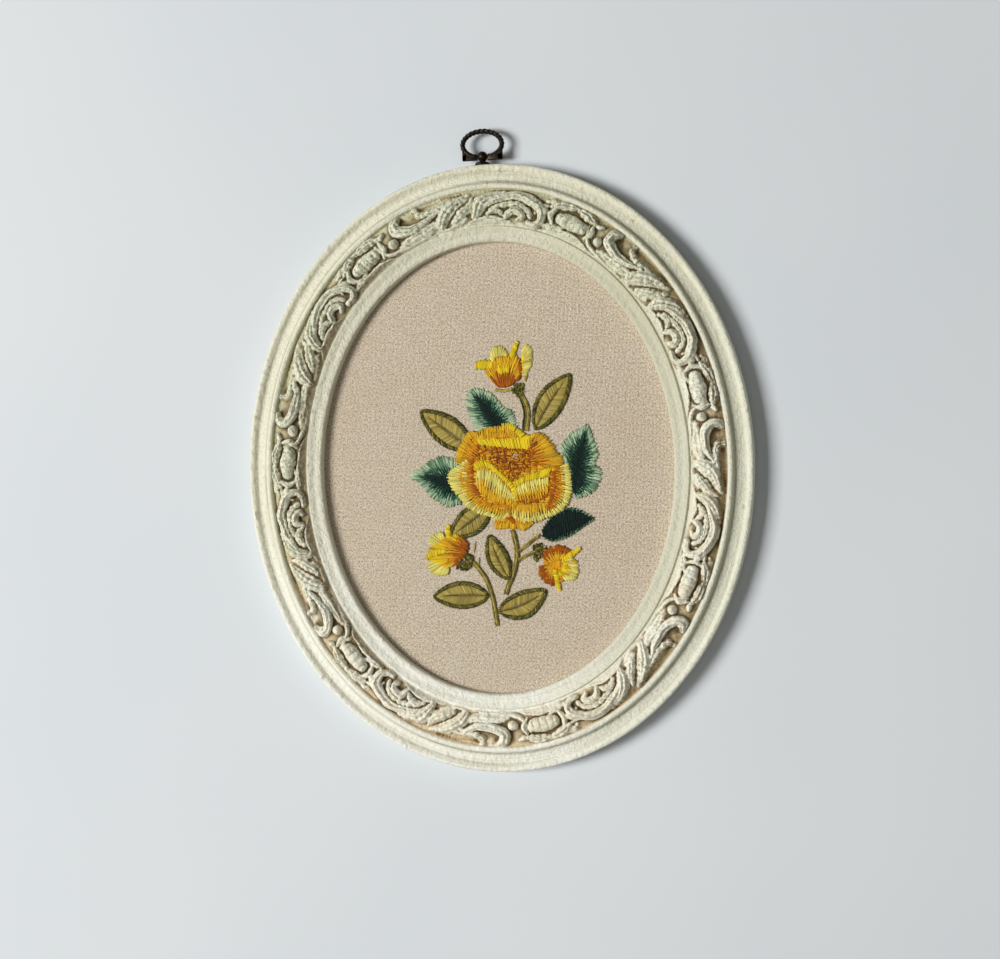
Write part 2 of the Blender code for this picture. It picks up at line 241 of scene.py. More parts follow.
# Carving of one run: kind, height, then places (along, from the sight edge, half width)
CARVING = [
    ("bead", 4.3, [(-5.6, 18.5, 3.5), (0, 18.6, 4.6), (5.8, 18.4, 3.7)]),
    ("groove", 0.9, [(-6.4, 15.4, 0.7), (-6.0, 20.6, 0.5)]),
    ("groove", 1.0, [(-2.2, 14.8, 0.7), (-1.9, 21.6, 0.5)]),
    ("groove", 1.0, [(2.2, 14.8, 0.7), (2.1, 21.6, 0.5)]),
    ("groove", 0.9, [(6.5, 15.4, 0.7), (6.2, 20.8, 0.5)]),
    ("scroll", 3.4, [(-10.0, 14.4, 0.8), (-12.0, 18.4, 1.8), (-10.2, 22.6, 1.1)]),
    ("scroll", 3.3, [(9.6, 14.2, 0.8), (12.0, 18.0, 1.6), (10.6, 22.0, 1.0)]),
    ("leaf", 4.1, [(-12.4, 23.6, 1.2), (-7.4, 26.0, 2.6), (-1.2, 27.4, 1.2)]),
    ("leaf", 4.3, [(-0.6, 26.4, 1.2), (4.6, 26.6, 2.7), (10.8, 24.4, 1.3)]),
    ("bead", 3.4, [(12.8, 24.2, 1.6), (14.8, 25.0, 1.1)]),
    ("plate", 2.6, [(-13.5, 9.3, 0.8), (-7, 10.0, 2.6), (0.5, 10.2, 3.4), (8, 9.9, 2.6), (15, 9.2, 0.8)]),
    ("groove", 0.6, [(-8, 10.9, 0.4), (0, 11.9, 0.4), (9, 10.8, 0.4)]),
    ("bead", 3.9, [(-16.6, 19.0, 2.9), (-16.0, 19.2, 2.9)]),
    ("scroll", 2.6, [(-20.5, 17.0, 0.8), (-19.2, 21.8, 1.1), (-14.5, 23.0, 0.9)]),
    ("bead", 3.9, [(17.4, 17.0, 2.6), (17.9, 17.0, 2.7)]),
    ("scroll", 2.8, [(8.5, 21.5, 0.7), (12.4, 13.8, 1.1), (18, 11.4, 1.3), (26, 9.8, 1.1),
                     (40, 9.5, 0.7)]),
    ("scroll", 4.6, [(25.0, 27.2, 2.0), (22.4, 25.4, 2.7), (21.8, 21.8, 2.9), (25.0, 19.0, 3.0),
                     (31, 17.6, 2.8), (38, 18.4, 2.0), (45.5, 21.6, 0.9)]),
    ("groove", 1.0, [(23.4, 23.6, 0.5), (26.0, 20.6, 0.6), (31.5, 18.9, 0.6), (39, 19.6, 0.4)]),
    ("leaf", 3.4, [(34.6, 27.2, 1.5), (35.4, 23.9, 1.7), (40.8, 22.4, 1.5), (49, 24.0, 0.8)]),
    ("leaf", 2.4, [(20, 12.6, 1.2), (27, 13.2, 2.6), (35, 13.6, 3.2), (43.5, 15.0, 1.6)]),
    ("leaf", 4.3, [(45.0, 13.4, 2.6), (47.8, 17.6, 3.4), (53.4, 22.0, 3.2), (62.5, 26.4, 0.9)]),
    ("groove", 1.4, [(50.6, 17.6, 0.8), (54.6, 20.6, 0.9), (59.6, 24.0, 0.5)]),
    ("leaf", 3.6, [(52.6, 12.8, 1.5), (57.4, 15.8, 2.6), (61.6, 19.4, 2.0), (64.2, 24.4, 0.7)]),
    ("leaf", 4.3, [(64.4, 13.6, 1.9), (66.2, 18.4, 3.0), (70.6, 23.2, 2.8), (79.5, 26.9, 0.9)]),
    ("scroll", 4.7, [(68.5, 18.6, 1.3), (76, 22.4, 2.2), (84, 24.9, 2.8), (92, 23.8, 3.0),
                     (98.6, 19.6, 2.9), (100.6, 14.6, 2.4), (97.8, 11.6, 1.9), (93.4, 11.4, 1.5)]),
    ("groove", 1.0, [(76, 21.6, 0.4), (84, 23.6, 0.6), (91.5, 22.4, 0.6), (96.6, 18.6, 0.6),
                     (98.4, 14.4, 0.5)]),
    ("leaf", 3.0, [(71.6, 17.0, 0.8), (79, 19.6, 1.6), (87, 20.4, 1.7), (92.4, 17.6, 1.5),
                   (94.0, 14.6, 1.2)]),
    ("leaf", 3.2, [(70.6, 14.6, 1.2), (73.6, 16.6, 1.8), (77.6, 16.4, 1.6), (80.0, 14.0, 1.0)]),
    ("scroll", 3.7, [(81.6, 13.2, 1.5), (83.6, 16.4, 2.0), (87.2, 16.8, 2.1), (90.0, 14.4, 1.8),
                     (88.2, 12.4, 1.3)]),
    ("plate", 2.8, [(58.5, 9.3, 0.8), (65, 10.0, 2.5), (72.5, 10.3, 3.3), (80, 9.9, 2.5), (86.5, 9.2, 0.8)]),
    ("groove", 0.6, [(64, 10.8, 0.4), (72.5, 11.9, 0.4), (81, 10.7, 0.4)]),
    ("scroll", 2.0, [(43.5, 11.3, 0.8), (50, 9.9, 1.2), (56.5, 11.4, 1.0), (60, 13.2, 0.6)]),
    ("leaf", 2.4, [(101.0, 25.2, 0.9), (104.6, 26.8, 1.6), (108.4, 24.6, 0.9)]),
    ("leaf", 2.6, [(102.6, 12.2, 1.2), (107.6, 12.4, 1.9), (113, 14.4, 0.9)]),
    ("groove", 1.5, [(27, 25.2, 2.0), (31, 23.6, 2.8), (40, 26.6, 1.6), (58, 27.8, 0.8)]),
    ("groove", 1.0, [(40, 27.9, 0.7), (60, 28.3, 0.8), (80, 28.4, 0.8), (100, 28.1, 0.7)]),
]


def smooth_line(points, per_span=12):
    """Many places on a smooth line through a few points, whatever their number of columns."""
    points = np.array(points, dtype=float)
    ends = (2 * points[0] - points[1], 2 * points[-1] - points[-2])
    padded = np.vstack([ends[0], points, ends[1]])
    share = np.linspace(0, 1, per_span, endpoint=False)[:, None]
    spans = []
    for a, b, c, d in zip(padded, padded[1:], padded[2:], padded[3:]):
        bend = (2 * a - 5 * b + 4 * c - d) * share**2 + (3 * b - a - 3 * c + d) * share**3
        spans.append(0.5 * (2 * b + (c - a) * share + bend))
    return np.vstack([*spans, points[-1:]])


def soften(heights, times):
    """Blur a map of one run, which joins on to itself along its length."""
    for _ in range(times):
        ahead, behind = np.roll(heights, 1, axis=0), np.roll(heights, -1, axis=0)
        heights = (2 * heights + ahead + behind) / 4
        inner = np.pad(heights, ((0, 0), (1, 1)), mode="edge")
        heights = (2 * inner[:, 1:-1] + inner[:, 2:] + inner[:, :-2]) / 4
    return heights


def carve_run():
    """Height of the carving over its ground on a grid: along the run, across the band."""
    along = np.arange(0, RUN_LENGTH, RELIEF_CELL)
    across = np.arange(BAND_IN - 1, BAND_OUT + 1, RELIEF_CELL)
    raised = np.zeros((len(along), len(across)))
    cut = np.zeros_like(raised)
    for kind, rise, places in CARVING:
        line = smooth_line(places, 12)
        travel = np.cumsum(np.hypot(*np.gradient(line[:, :2], axis=0).T))
        if kind == "leaf":
            line[:, 2] *= 1 + 0.22 * np.cos(travel * 2.0)
        ahead = np.gradient(line[:, :2], axis=0)
        ahead /= np.linalg.norm(ahead, axis=1)[:, None] + 1e-9
        nearest = np.full_like(raised, 9.0)
        offset, size = np.zeros_like(raised), np.ones_like(raised)
        for (u, w, half), (step_u, step_w) in zip(line, ahead):
            half = max(half, 0.3)
            du = (along - u + RUN_LENGTH / 2) % RUN_LENGTH - RUN_LENGTH / 2
            near = np.abs(du) < 2 * half + 1
            du, dw = du[near][:, None] / half, (across - w)[None, :] / half
            distance = np.hypot(du, dw)
            closer = distance < nearest[near]
            nearest[near] = np.where(closer, distance, nearest[near])
            offset[near] = np.where(closer, step_u * dw - step_w * du, offset[near])
            size[near] = np.where(closer, half, size[near])
        dome = np.sqrt(np.clip(1 - nearest**2, 0, 1))
        thin = 0.45 + 0.55 * size / line[:, 2].max()
        if kind == "leaf":
            ribs = 0.84 - 0.20 * np.cos(offset * 3 * math.pi)
            raised = np.maximum(raised, rise * thin * dome * ribs)
        elif kind == "scroll":
            ribs = 0.92 + 0.13 * np.cos(offset * 2.6 * math.pi - 0.7)
            raised = np.maximum(raised, rise * thin * dome * ribs)
        elif kind == "bead":
            raised = np.maximum(raised, rise * dome)
        elif kind == "plate":
            tilt = np.clip((across - BAND_IN + 0.4) / 3.4, 0.05, 1)
            dish = 0.55 + 0.45 * np.clip(nearest, 0, 1) ** 2
            raised = np.maximum(raised, rise * tilt * dish * np.sqrt(np.clip(1 - nearest**8, 0, 1)))
        else:
            cut = np.maximum(cut, rise * np.exp(-(nearest**2)))
    return along, across, soften(raised - cut, 1)


def oval_line(half_x, half_y, distance, shares):
    """Points of an oval and its outward normals at shares of the line that runs outside it."""
    turn = np.linspace(0, 2 * math.pi, 7201)
    normal = np.stack([half_y * np.sin(turn), half_x * np.cos(turn)], axis=1)
    normal /= np.linalg.norm(normal, axis=1)[:, None]
    line = np.stack([half_x * np.sin(turn), half_y * np.cos(turn)], axis=1) + distance * normal
    travel = np.concatenate([[0], np.cumsum(np.linalg.norm(np.diff(line, axis=0), axis=1))])
    at = np.interp(shares * travel[-1], travel, turn)
    points = np.stack([half_x * np.sin(at), half_y * np.cos(at)], axis=1)
    normals = np.stack([half_y * np.sin(at), half_x * np.cos(at)], axis=1)
    return points, normals / np.linalg.norm(normals, axis=1)[:, None], travel[-1]


def read_map(heights, along, across, u, w):
    """Heights of a run's map at any places, joined smoothly between its cells."""
    place_u = (u / RELIEF_CELL) % len(along)
    place_w = np.clip((w - across[0]) / RELIEF_CELL, 0, len(across) - 1.001)
    low_u, low_w = np.floor(place_u).astype(int) % len(along), np.floor(place_w).astype(int)
    next_u = (low_u + 1) % len(along)
    part_u, part_w = place_u - np.floor(place_u), place_w - low_w
    near = heights[low_u, low_w] * (1 - part_w) + heights[low_u, low_w + 1] * part_w
    far = heights[next_u, low_w] * (1 - part_w) + heights[next_u, low_w + 1] * part_w
    return near * (1 - part_u) + far * part_u


def vertex_places(mesh):
    places = np.zeros(len(mesh.vertices) * 3)
    mesh.vertices.foreach_get("co", places)
    return places.reshape(-1, 3)


def paint_vertices(mesh, name, values):
    """Keep a number, or a row of three, at each vertex under a name that a finish reads."""
    values = np.asarray(values, dtype=np.float32)
    kind, part = ("FLOAT", "value") if values.ndim == 1 else ("FLOAT_VECTOR", "vector")
    mesh.attributes.new(name, kind, "POINT").data.foreach_set(part, values.ravel())


def spun_radius(vert):
    """How far a vertex lies from the axis that the section is spun about."""
    return math.hypot(vert.co.x, vert.co.y)


def lumps_of(places, cell, seed):
    """Soft lumps of -1 to 1 about a cell across, at flat places in millimetres."""
    grid = np.random.default_rng(seed).uniform(-1, 1, (LUMP_GRID, LUMP_GRID))
    scaled = places / cell
    low = np.floor(scaled).astype(int)
    part = scaled - low
    part = part * part * (3 - 2 * part)
    x0, y0 = low[:, 0] % LUMP_GRID, low[:, 1] % LUMP_GRID
    x1, y1 = (x0 + 1) % LUMP_GRID, (y0 + 1) % LUMP_GRID
    near = grid[x0, y0] * (1 - part[:, 0]) + grid[x1, y0] * part[:, 0]
    far = grid[x0, y1] * (1 - part[:, 0]) + grid[x1, y1] * part[:, 0]
    return near * (1 - part[:, 1]) + far * part[:, 1]


def make_moulding():
    """The section spun into a round ring, then laid along the oval with its carving raised."""
    section = [(w, 0.0) for w in np.linspace(BAND_IN, BAND_OUT, BAND_POINTS)] + SMOOTH_SECTION
    bm = bmesh.new()
    line = [bm.verts.new((FIRST_RING + w, 0, z)) for w, z in section]
    edges = [bm.edges.new((a, b)) for a, b in zip(line, line[1:] + line[:1])]
    turn = {"cent": (0, 0, 0), "axis": (0, 0, 1), "angle": 2 * math.pi, "steps": RING_STEPS}
    bmesh.ops.spin(bm, geom=line + edges, use_merge=True, **turn)
    long_way = [e for e in bm.edges if abs(e.verts[0].co.z - e.verts[1].co.z) < 1e-6]
    long_way = [e for e in long_way if abs(spun_radius(e.verts[0]) - spun_radius(e.verts[1])) < 1e-3]
    bmesh.ops.subdivide_edges(bm, edges=long_way, cuts=RING_CUTS, use_grid_fill=True)
    mesh = bpy.data.meshes.new("oval_moulding")
    bm.to_mesh(mesh)
    bm.free()
    ring = vertex_places(mesh)
    w = np.hypot(ring[:, 0], ring[:, 1]) - FIRST_RING
    rows = np.unique([place for place, _height in section])
    w = rows[np.abs(w[:, None] - rows[None, :]).argmin(axis=1)]
    share = (np.arctan2(ring[:, 0], ring[:, 1]) / (2 * math.pi)) % 1.0
    points, normals, length = oval_line(SIGHT_A, SIGHT_B, BAND_MIDDLE, share)
    travel = share * length
    shells = np.array([SHELL_PLACES[-1] - length, *SHELL_PLACES, SHELL_PLACES[0] + length])
    u = np.interp(travel, shells, np.arange(len(shells)) * RUN_LENGTH)
    along, across, carving = carve_run()
    # Hollows and creases of the carving, for dark wax with painted shade in them.
    dips = np.clip((soften(carving, 220) - carving) / 1.5, 0, 1)
    creases = np.clip((soften(carving, 8) - carving) / 0.45, 0, 1)
    # Crests of the carving, for a painted highlight.
    crest_highlights = np.clip((carving - soften(carving, 20)) / 0.5, 0, 1)
    flat = points + w[:, None] * normals
    at_u = u + 0.9 * lumps_of(flat, 7.0, 3)
    at_w = w + 0.5 * lumps_of(flat, 6.0, 4) + 0.22 * lumps_of(flat, 2.2, 5)
    maps = (carving, dips, creases, crest_highlights)
    raised, hollow_wax_and_shade, crease_wax_and_shade, crest_highlight = (read_map(heights, along, across, at_u, at_w) for heights in maps)
    in_band = (w > BAND_IN - 0.1) & (w < BAND_OUT + 0.1) & (ring[:, 2] < 0.01)
    edge = np.clip(np.minimum((w - BAND_IN + 0.4) / 1.7, (BAND_OUT - w + 0.3) / 0.9), 0, 1)
    strength = 0.95 + 0.10 * lumps_of(flat, 5.0, 6)
    coat = 0.34 * lumps_of(flat, 1.3, 7) + 0.18 * lumps_of(flat, 3.1, 8)
    hump = np.sin(math.pi * np.clip((w - BAND_IN) / (BAND_OUT - BAND_IN), 0, 1))
    ground = 12.4 + 2.1 * hump
    height = np.where(in_band, ground + edge * (raised * strength + coat), ring[:, 2])
    blobs = np.clip(lumps_of(flat, 2.8, 9) - 0.74, 0, 1) * 3.2
    scoop = np.clip((w - 31.0) / 1.5, 0, 1) * (ring[:, 2] > 9)
    inner_step = (w > 0.3) & (w < 8.4) & (ring[:, 2] > 11.5)
    height += scoop * (blobs + 0.45 * coat) + inner_step * 0.4 * coat
    height = np.minimum(height, FRAME_TOP)
    places = np.column_stack([flat, height])
    places[:, 1] += CENTRE_Y / MM
    mesh.vertices.foreach_set("co", (places * MM).ravel())
    angle = share * 2 * math.pi
    green = np.clip(0.55 + 0.42 * np.cos(angle + 0.35) + 0.08 * np.sin(3 * angle), 0, 1)
    paint_vertices(mesh, "carved", np.where(in_band, np.clip(raised / 3.0, 0, 1) * edge, 0))
    for name, values in (("hollow_wax_and_shade", hollow_wax_and_shade), ("crest_highlight", crest_highlight), ("crease_wax_and_shade", crease_wax_and_shade)):
        paint_vertices(mesh, name, np.where(in_band, values * edge, 0))
    inward = np.clip((w - BAND_IN - 0.2) / 3.4, 0, 1)
    paint_vertices(mesh, "in_band", in_band * inward)
    # Painted shade: the band's inner half darker on the left side of the ring and its outer half darker on
    # the right, where those slopes face away from the window light.
    inner_slope_shade = np.exp(-(((w - 10.8) / 1.8) ** 2)) * np.clip(-1.4 * np.sin(angle) - 0.2, 0, 1)
    outer_slope_shade = np.exp(-(((w - 26.4) / 2.0) ** 2)) * np.clip(1.4 * np.sin(angle) - 0.2, 0, 1)
    low = np.clip(1.3 - raised / 3.4, 0, 1)
    paint_vertices(mesh, "painted_recess_shade", in_band * (inner_slope_shade + outer_slope_shade) * low)
    # Painted shade along the feet of the scoop's walls.
    wall_foot = np.exp(-(((w - 32.5) / 0.55) ** 2)) + 0.6 * np.exp(-(((w - 38.0) / 0.7) ** 2))
    paint_vertices(mesh, "wall_foot_shade", np.where(ring[:, 2] > 9, wall_foot, 0))
    paint_vertices(mesh, "green", green)
    paint_vertices(mesh, "lengthwise", np.column_stack([np.sin(angle), np.cos(angle), w / 10]))
    bm = bmesh.new()
    bm.from_mesh(mesh)
    bmesh.ops.recalc_face_normals(bm, faces=bm.faces)
    bm.to_mesh(mesh)
    bm.free()
    mesh.shade_smooth()
    mesh.set_sharp_from_angle(angle=math.radians(SHARP_ANGLE))
    return mesh


cream_paint, place, shader = new_finish("rubbed_cream_paint")
names = ("carved", "hollow_wax_and_shade", "in_band", "green", "crease_wax_and_shade", "crest_highlight", "wall_foot_shade", "painted_recess_shade")
carved, hollow_wax_and_shade, in_band, green, crease_wax_and_shade, crest_highlight, wall_foot_shade, painted_recess_shade = (place.painted(name) for name in names)
lengthwise = place.painted("lengthwise", "Vector")
mottle = place.noise(38.0, 4.0)
coarse = place.noise(330.0, 3.0, 0.6)
grain = place.noise(620.0, 3.0, 0.6)
fine = place.noise(1500.0, 2.0, 0.5)
streak = lengthwise.scaled(2.2, 2.2, 7.0).noise(1.6, 4.0, 0.6)
east, north, outward = lengthwise.parts()
# Painted shade: the smooth steps darker on the right side of the ring, and the inner step darker again
# towards the right and the top.
east_side_shade = east.step(0.1, 0.9)
inner_step_shade = (1 - outward.step(0.8, 1.2)) * (east_side_shade * 0.55 + north.step(0.1, 0.9) * 0.35)
warm = in_band * (1 - green) * mottle.step(0.30, 0.60)
ground = in_band * (1 - carved.step(0.05, 0.45)) * mottle.step(0.20, 0.50)
ground_tone = green.step(0.35, 0.9).tint(srgb(206, 182, 142), srgb(178, 178, 138))
patina = (0.20 + 0.80 * green) * carved.step(0.1, 0.6) * in_band * grain.step(0.36, 0.62)
speck = grain.step(0.57, 0.64) * fine.step(0.44, 0.58)
chips = (1 - place.spots(48.0).step(0.03, 0.06)) * mottle.step(0.54, 0.62)
paint = mottle.step(0.35, 0.7).tint(srgb(249, 250, 241), srgb(241, 242, 228))
# Each layer over the last, the paint's own colours with painted shade and highlight among them: how far it
# covers, and its colour
TINT_LAYERS = [
    (green.step(0.15, 1.0) * 0.60, srgb(222, 220, 194)),
    (streak.step(0.46, 0.70) * 0.40, srgb(198, 199, 180)),
    # painted shade on the right side of the ring, then on its inner step towards the right and the top
    ((1 - in_band) * east_side_shade * 0.45, srgb(214, 216, 192)),
    (inner_step_shade, srgb(198, 197, 172)),
    (grain.step(0.50, 0.72) * (0.20 + 0.35 * green), srgb(190, 193, 172)),
    # painted shade at the feet of the scoop's walls, patchy along the streaks
    (wall_foot_shade * (0.35 + 0.4 * streak.step(0.35, 0.65)), srgb(150, 146, 110)),
    (warm * 0.6, srgb(248, 234, 206)),
    (ground * 0.75, ground_tone),
    (patina * 0.75, srgb(168, 180, 144)),
    # painted shade on the band's slopes that face away from the light
    (painted_recess_shade.step(0.05, 0.60) * (0.60 + 0.40 * grain), srgb(128, 111, 74)),
    # dark wax in the hollows and creases, with painted shade there
    (hollow_wax_and_shade.step(0.15, 0.75) * 0.70, srgb(172, 152, 106)),
    (hollow_wax_and_shade.step(0.40, 0.95) * 0.88, srgb(84, 68, 40)),
    (crease_wax_and_shade.step(0.20, 0.9) * (0.50 + 0.42 * green), srgb(70, 60, 36)),
    # painted highlight on the crests of the carving
    (crest_highlight.step(0.35, 1.0) * (0.95 - 0.35 * green), srgb(253, 251, 236)),
    (speck * in_band * (0.30 + 0.65 * green), srgb(84, 88, 70)),
    (chips * 0.8, srgb(58, 50, 40)),
]
for cover, colour in TINT_LAYERS:
    paint = cover.tint(paint, colour)
surface = coarse * 0.8 + grain * 0.7 + fine * 0.4 + streak * 0.3 - chips * 0.8
feed(shader, Base_Color=paint, Roughness=0.6 + 0.2 * grain, Normal=surface.bump(0.9, 0.0010))
feed(shader, Specular_IOR_Level=0.35)
moulding = make_moulding()
add_piece("oval_moulding", moulding, cream_paint, "framed_picture", ["frame"])

# LINEN: a plain-woven oval in pinkish beige, pulled flat over the board behind the sight edge.
# Threads 0.74 mm apart, with slubs, and a faint pucker round the rim.
LINEN_HALF = (101.2, 126.6)
LINEN_FACE = 6.5
THREAD = 0.00074

linen_cloth, place, shader = new_finish("linen_cloth")
drift = place.add("ShaderNodeTexNoise", None, {"Vector": place, "Scale": 9.0, "Detail": 2.0}, 1)
drifted = {0: place, 1: drift.scaled(0.003, 0.003, 0)}
wavy = place.add("ShaderNodeVectorMath", {"operation": "ADD"}, drifted)
across_x, across_y, _up = wavy.scaled(1 / THREAD, 1 / THREAD, 0).parts()
warp_hump = (across_x * math.pi).math("SINE").math("ABSOLUTE")
weft_hump = (across_y * math.pi).math("SINE").math("ABSOLUTE")
over = ((across_x.math("FLOOR") + across_y.math("FLOOR")) * 0.5).math("FRACT").step(0.2, 0.3)
weave = over * warp_hump * (0.6 + 0.4 * weft_hump) + (1 - over) * weft_hump * (0.6 + 0.4 * warp_hump)
warp_slub = wavy.scaled(1 / THREAD, 22.0, 0).noise(0.9, 2.0, 0.7)
weft_slub = wavy.scaled(22.0, 1 / THREAD, 0).noise(0.9, 2.0, 0.7)
slub = over * warp_slub + (1 - over) * weft_slub
broad = place.noise(22.0, 3.0)
long_fleck = wavy.scaled(2500.0, 800.0, 0).noise(1.0, 1.0, 0.6)
cross_fleck = wavy.scaled(800.0, 2500.0, 0).noise(1.0, 1.0, 0.6)
cloth = slub.step(0.25, 0.75).tint(srgb(246, 227, 204), srgb(255, 248, 232))
cloth = (broad.step(0.40, 0.75) * 0.22).tint(cloth, srgb(238, 214, 190))
# Painted shade in the low places between the threads.
cloth = ((1 - weave.step(0.05, 0.60)) * 0.50).tint(cloth, srgb(150, 134, 110))
cloth = (long_fleck.step(0.48, 0.66) * 0.65).tint(cloth, srgb(146, 128, 102))
cloth = (cross_fleck.step(0.48, 0.66) * 0.65).tint(cloth, srgb(146, 128, 102))
feed(
    shader,
    Base_Color=cloth,
    Roughness=0.92,
    Normal=(weave + slub * 0.6).bump(0.8, 0.00035),
    Specular_IOR_Level=0.2,
)


def make_linen():
    """A grid drawn in to an oval, flat in the middle, with soft puckers towards its rim."""
    bm = bmesh.new()
    bmesh.ops.create_grid(bm, x_segments=96, y_segments=120, size=1.0)
    mesh = bpy.data.meshes.new("linen_cloth")
    bm.to_mesh(mesh)
    bm.free()
    flat = vertex_places(mesh)
    x = flat[:, 0] * np.sqrt(1 - flat[:, 1] ** 2 / 2)
    y = flat[:, 1] * np.sqrt(1 - flat[:, 0] ** 2 / 2)
    out = np.hypot(x, y)
    angle = np.arctan2(y, x)
    ripple = 0.10 * np.sin(angle * 23) + 0.08 * np.sin(angle * 41 + 1)
    z = LINEN_FACE - 0.10 + np.clip(out - 0.55, 0, 1) * ripple * 1.2
    places = np.column_stack([x * LINEN_HALF[0], y * LINEN_HALF[1] + CENTRE_Y / MM, z])
    mesh.vertices.foreach_set("co", (places * MM).ravel())
    mesh.shade_smooth()
    return mesh


linen = add_piece("linen_cloth", make_linen(), linen_cloth, "framed_picture", ["linen"])
thickness = linen.modifiers.new("thickness", "SOLIDIFY")
thickness.thickness = 0.0005
thickness.offset = -1

# BACKING BOARD: the grey-brown card that the linen is stretched over, seen only from behind.
# It keeps its CAD shape and gets the speckled fibres of pressed card.
board_card, place, shader = new_finish("pressed_card")
fibre = place.scaled(1.0, 3.0, 1.0).noise(260.0, 4.0, 0.7)
card = fibre.step(0.35, 0.7).tint(srgb(150, 128, 100), srgb(120, 100, 76))
card = (place.noise(900.0).step(0.62, 0.7) * 0.6).tint(card, srgb(84, 68, 50))
feed(shader, Base_Color=card, Roughness=0.9, Normal=fibre.bump(0.4, 0.0002))
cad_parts["backing_board"].data.materials[0] = board_card

# CREWEL WOOL: every stitch is a short length of two-ply wool that comes up through the linen,
# lies over it and goes down again. One is modelled, and thousands are laid from a few lines.
STITCH_WIDTH = 1.04
SHADES = {
    "lemon": (230, 220, 118),
    "yellow": (234, 208, 34),
    "gold": (224, 176, 34),
    "orange": (216, 148, 18),
    "rust": (170, 92, 8),
    "brown": (128, 66, 8),
    "tan": (168, 151, 76),
    "straw": (186, 169, 90),
    "khaki": (122, 108, 38),
    "olive": (94, 92, 36),
    "moss": (60, 62, 20),
    "mint": (178, 202, 168),
    "sage": (112, 148, 118),
    "teal": (40, 88, 68),
    "deep_teal": (6, 46, 36),
    "ink_teal": (2, 28, 24),
    "white": (206, 200, 186),
}

wool, place, shader = new_finish("crewel_wool")
shade = place.painted("shade", "Vector")
strand = place.painted("strand", "Vector")
travelled, side, face = strand.parts()
lay = travelled * 2.6
ply = face * lay.math("COSINE") - side * lay.math("SINE")
hair = place.noise(2600.0, 3.0, 0.6)
# Painted shade in the grooves between the plies, with darker fibres at random; then painted shade on each
# stitch's low sides, where it meets the linen and its neighbours.
dark = (1 - ply.math("ABSOLUTE").step(0.0, 0.5)) * 0.30 + (1 - hair.step(0.3, 0.6)) * 0.30
coat = dark.tint(shade, shade.scaled(0.45, 0.42, 0.40))
crevice_shade = 1 - face.step(-0.2, 0.75)
coat = (crevice_shade * 0.85).tint(coat, shade.scaled(0.22, 0.20, 0.18))
feed(
    shader,
    Base_Color=coat,
    Roughness=0.72,
    Normal=(ply.math("ABSOLUTE") * 0.6 + hair * 0.5).bump(0.7, 0.0003),
    Specular_IOR_Level=0.25,
    Sheen_Weight=0.12,
    Sheen_Roughness=0.4,
)


def stitch_shape():
    """One stitch from pole to pole: shares of its length, its round section, and its faces."""
    bm = bmesh.new()
    bmesh.ops.create_uvsphere(bm, u_segments=6, v_segments=7, radius=1.0)
    bmesh.ops.recalc_face_normals(bm, faces=bm.faces)
    places = np.array([vert.co[:] for vert in bm.verts])
    faces = [[vert.index for vert in face.verts] for face in bm.faces]
    bm.free()
    out = np.hypot(places[:, 0], places[:, 1])
    around = places[:, :2] / np.maximum(out, 1e-6)[:, None]
    return (places[:, 2] + 1) / 2, around, np.sqrt(out), faces


STITCH = stitch_shape()
DICE = np.random.default_rng(11)


def sew(name, stitches, nodes, over=0.0):
    """Lay every stitch of one motif as a joined mesh: ends, width, rise and shade of each."""
    share, around, out, faces = STITCH
    start, end, width, rise, colour = (np.concatenate(rows) for rows in zip(*stitches))
    run = end - start
    length = np.linalg.norm(run, axis=1)[:, None]
    ahead = run / length
    side = np.cross([0.0, 0.0, 1.0], ahead)
    side /= np.linalg.norm(side, axis=1)[:, None]
    face = np.cross(ahead, side)
    radius = (width / 2)[:, None] * out
    arch = rise[:, None] * (1 - (2 * share - 1) ** 4)
    places = start[:, None] + run[:, None] * share[None, :, None]
    places += side[:, None] * (radius * around[:, 0])[..., None]
    places += face[:, None] * (radius * around[:, 1])[..., None]
    places[..., 2] += arch + over
    places[..., 1] += CENTRE_Y / MM
    count, corners = len(start), len(share)
    starts = np.cumsum([0] + [len(face) for face in faces[:-1]])
    loops = np.concatenate(faces)
    mesh = bpy.data.meshes.new(name)
    mesh.vertices.add(count * corners)
    mesh.vertices.foreach_set("co", (places * MM).ravel())
    step = np.arange(count)[:, None]
    mesh.loops.add(count * len(loops))
    mesh.loops.foreach_set("vertex_index", (loops + step * corners).ravel().astype(np.int32))
    mesh.polygons.add(count * len(faces))
    mesh.polygons.foreach_set("loop_start", (starts + step * len(loops)).ravel().astype(np.int32))
    mesh.update(calc_edges=True)
    travelled = length * share + np.arange(count)[:, None] * 1.7
    sides = [np.broadcast_to(around[:, part], travelled.shape) for part in (0, 1)]
    paint_vertices(mesh, "strand", np.stack([travelled, *sides], axis=-1).reshape(-1, 3))
    paint_vertices(mesh, "shade", np.repeat(colour, corners, axis=0))
    mesh.shade_smooth()
    return add_piece(name, mesh, wool, "framed_picture", nodes)


def along_line(line, shares):
    """Places on a line at shares of its length."""
    line = smooth_line(line)
    travel = np.concatenate([[0], np.cumsum(np.linalg.norm(np.diff(line, axis=0), axis=1))])
    return np.stack([np.interp(shares * travel[-1], travel, line[:, axis]) for axis in (0, 1)], axis=1)


def line_length(line):
    return np.linalg.norm(np.diff(smooth_line(line), axis=0), axis=1).sum()


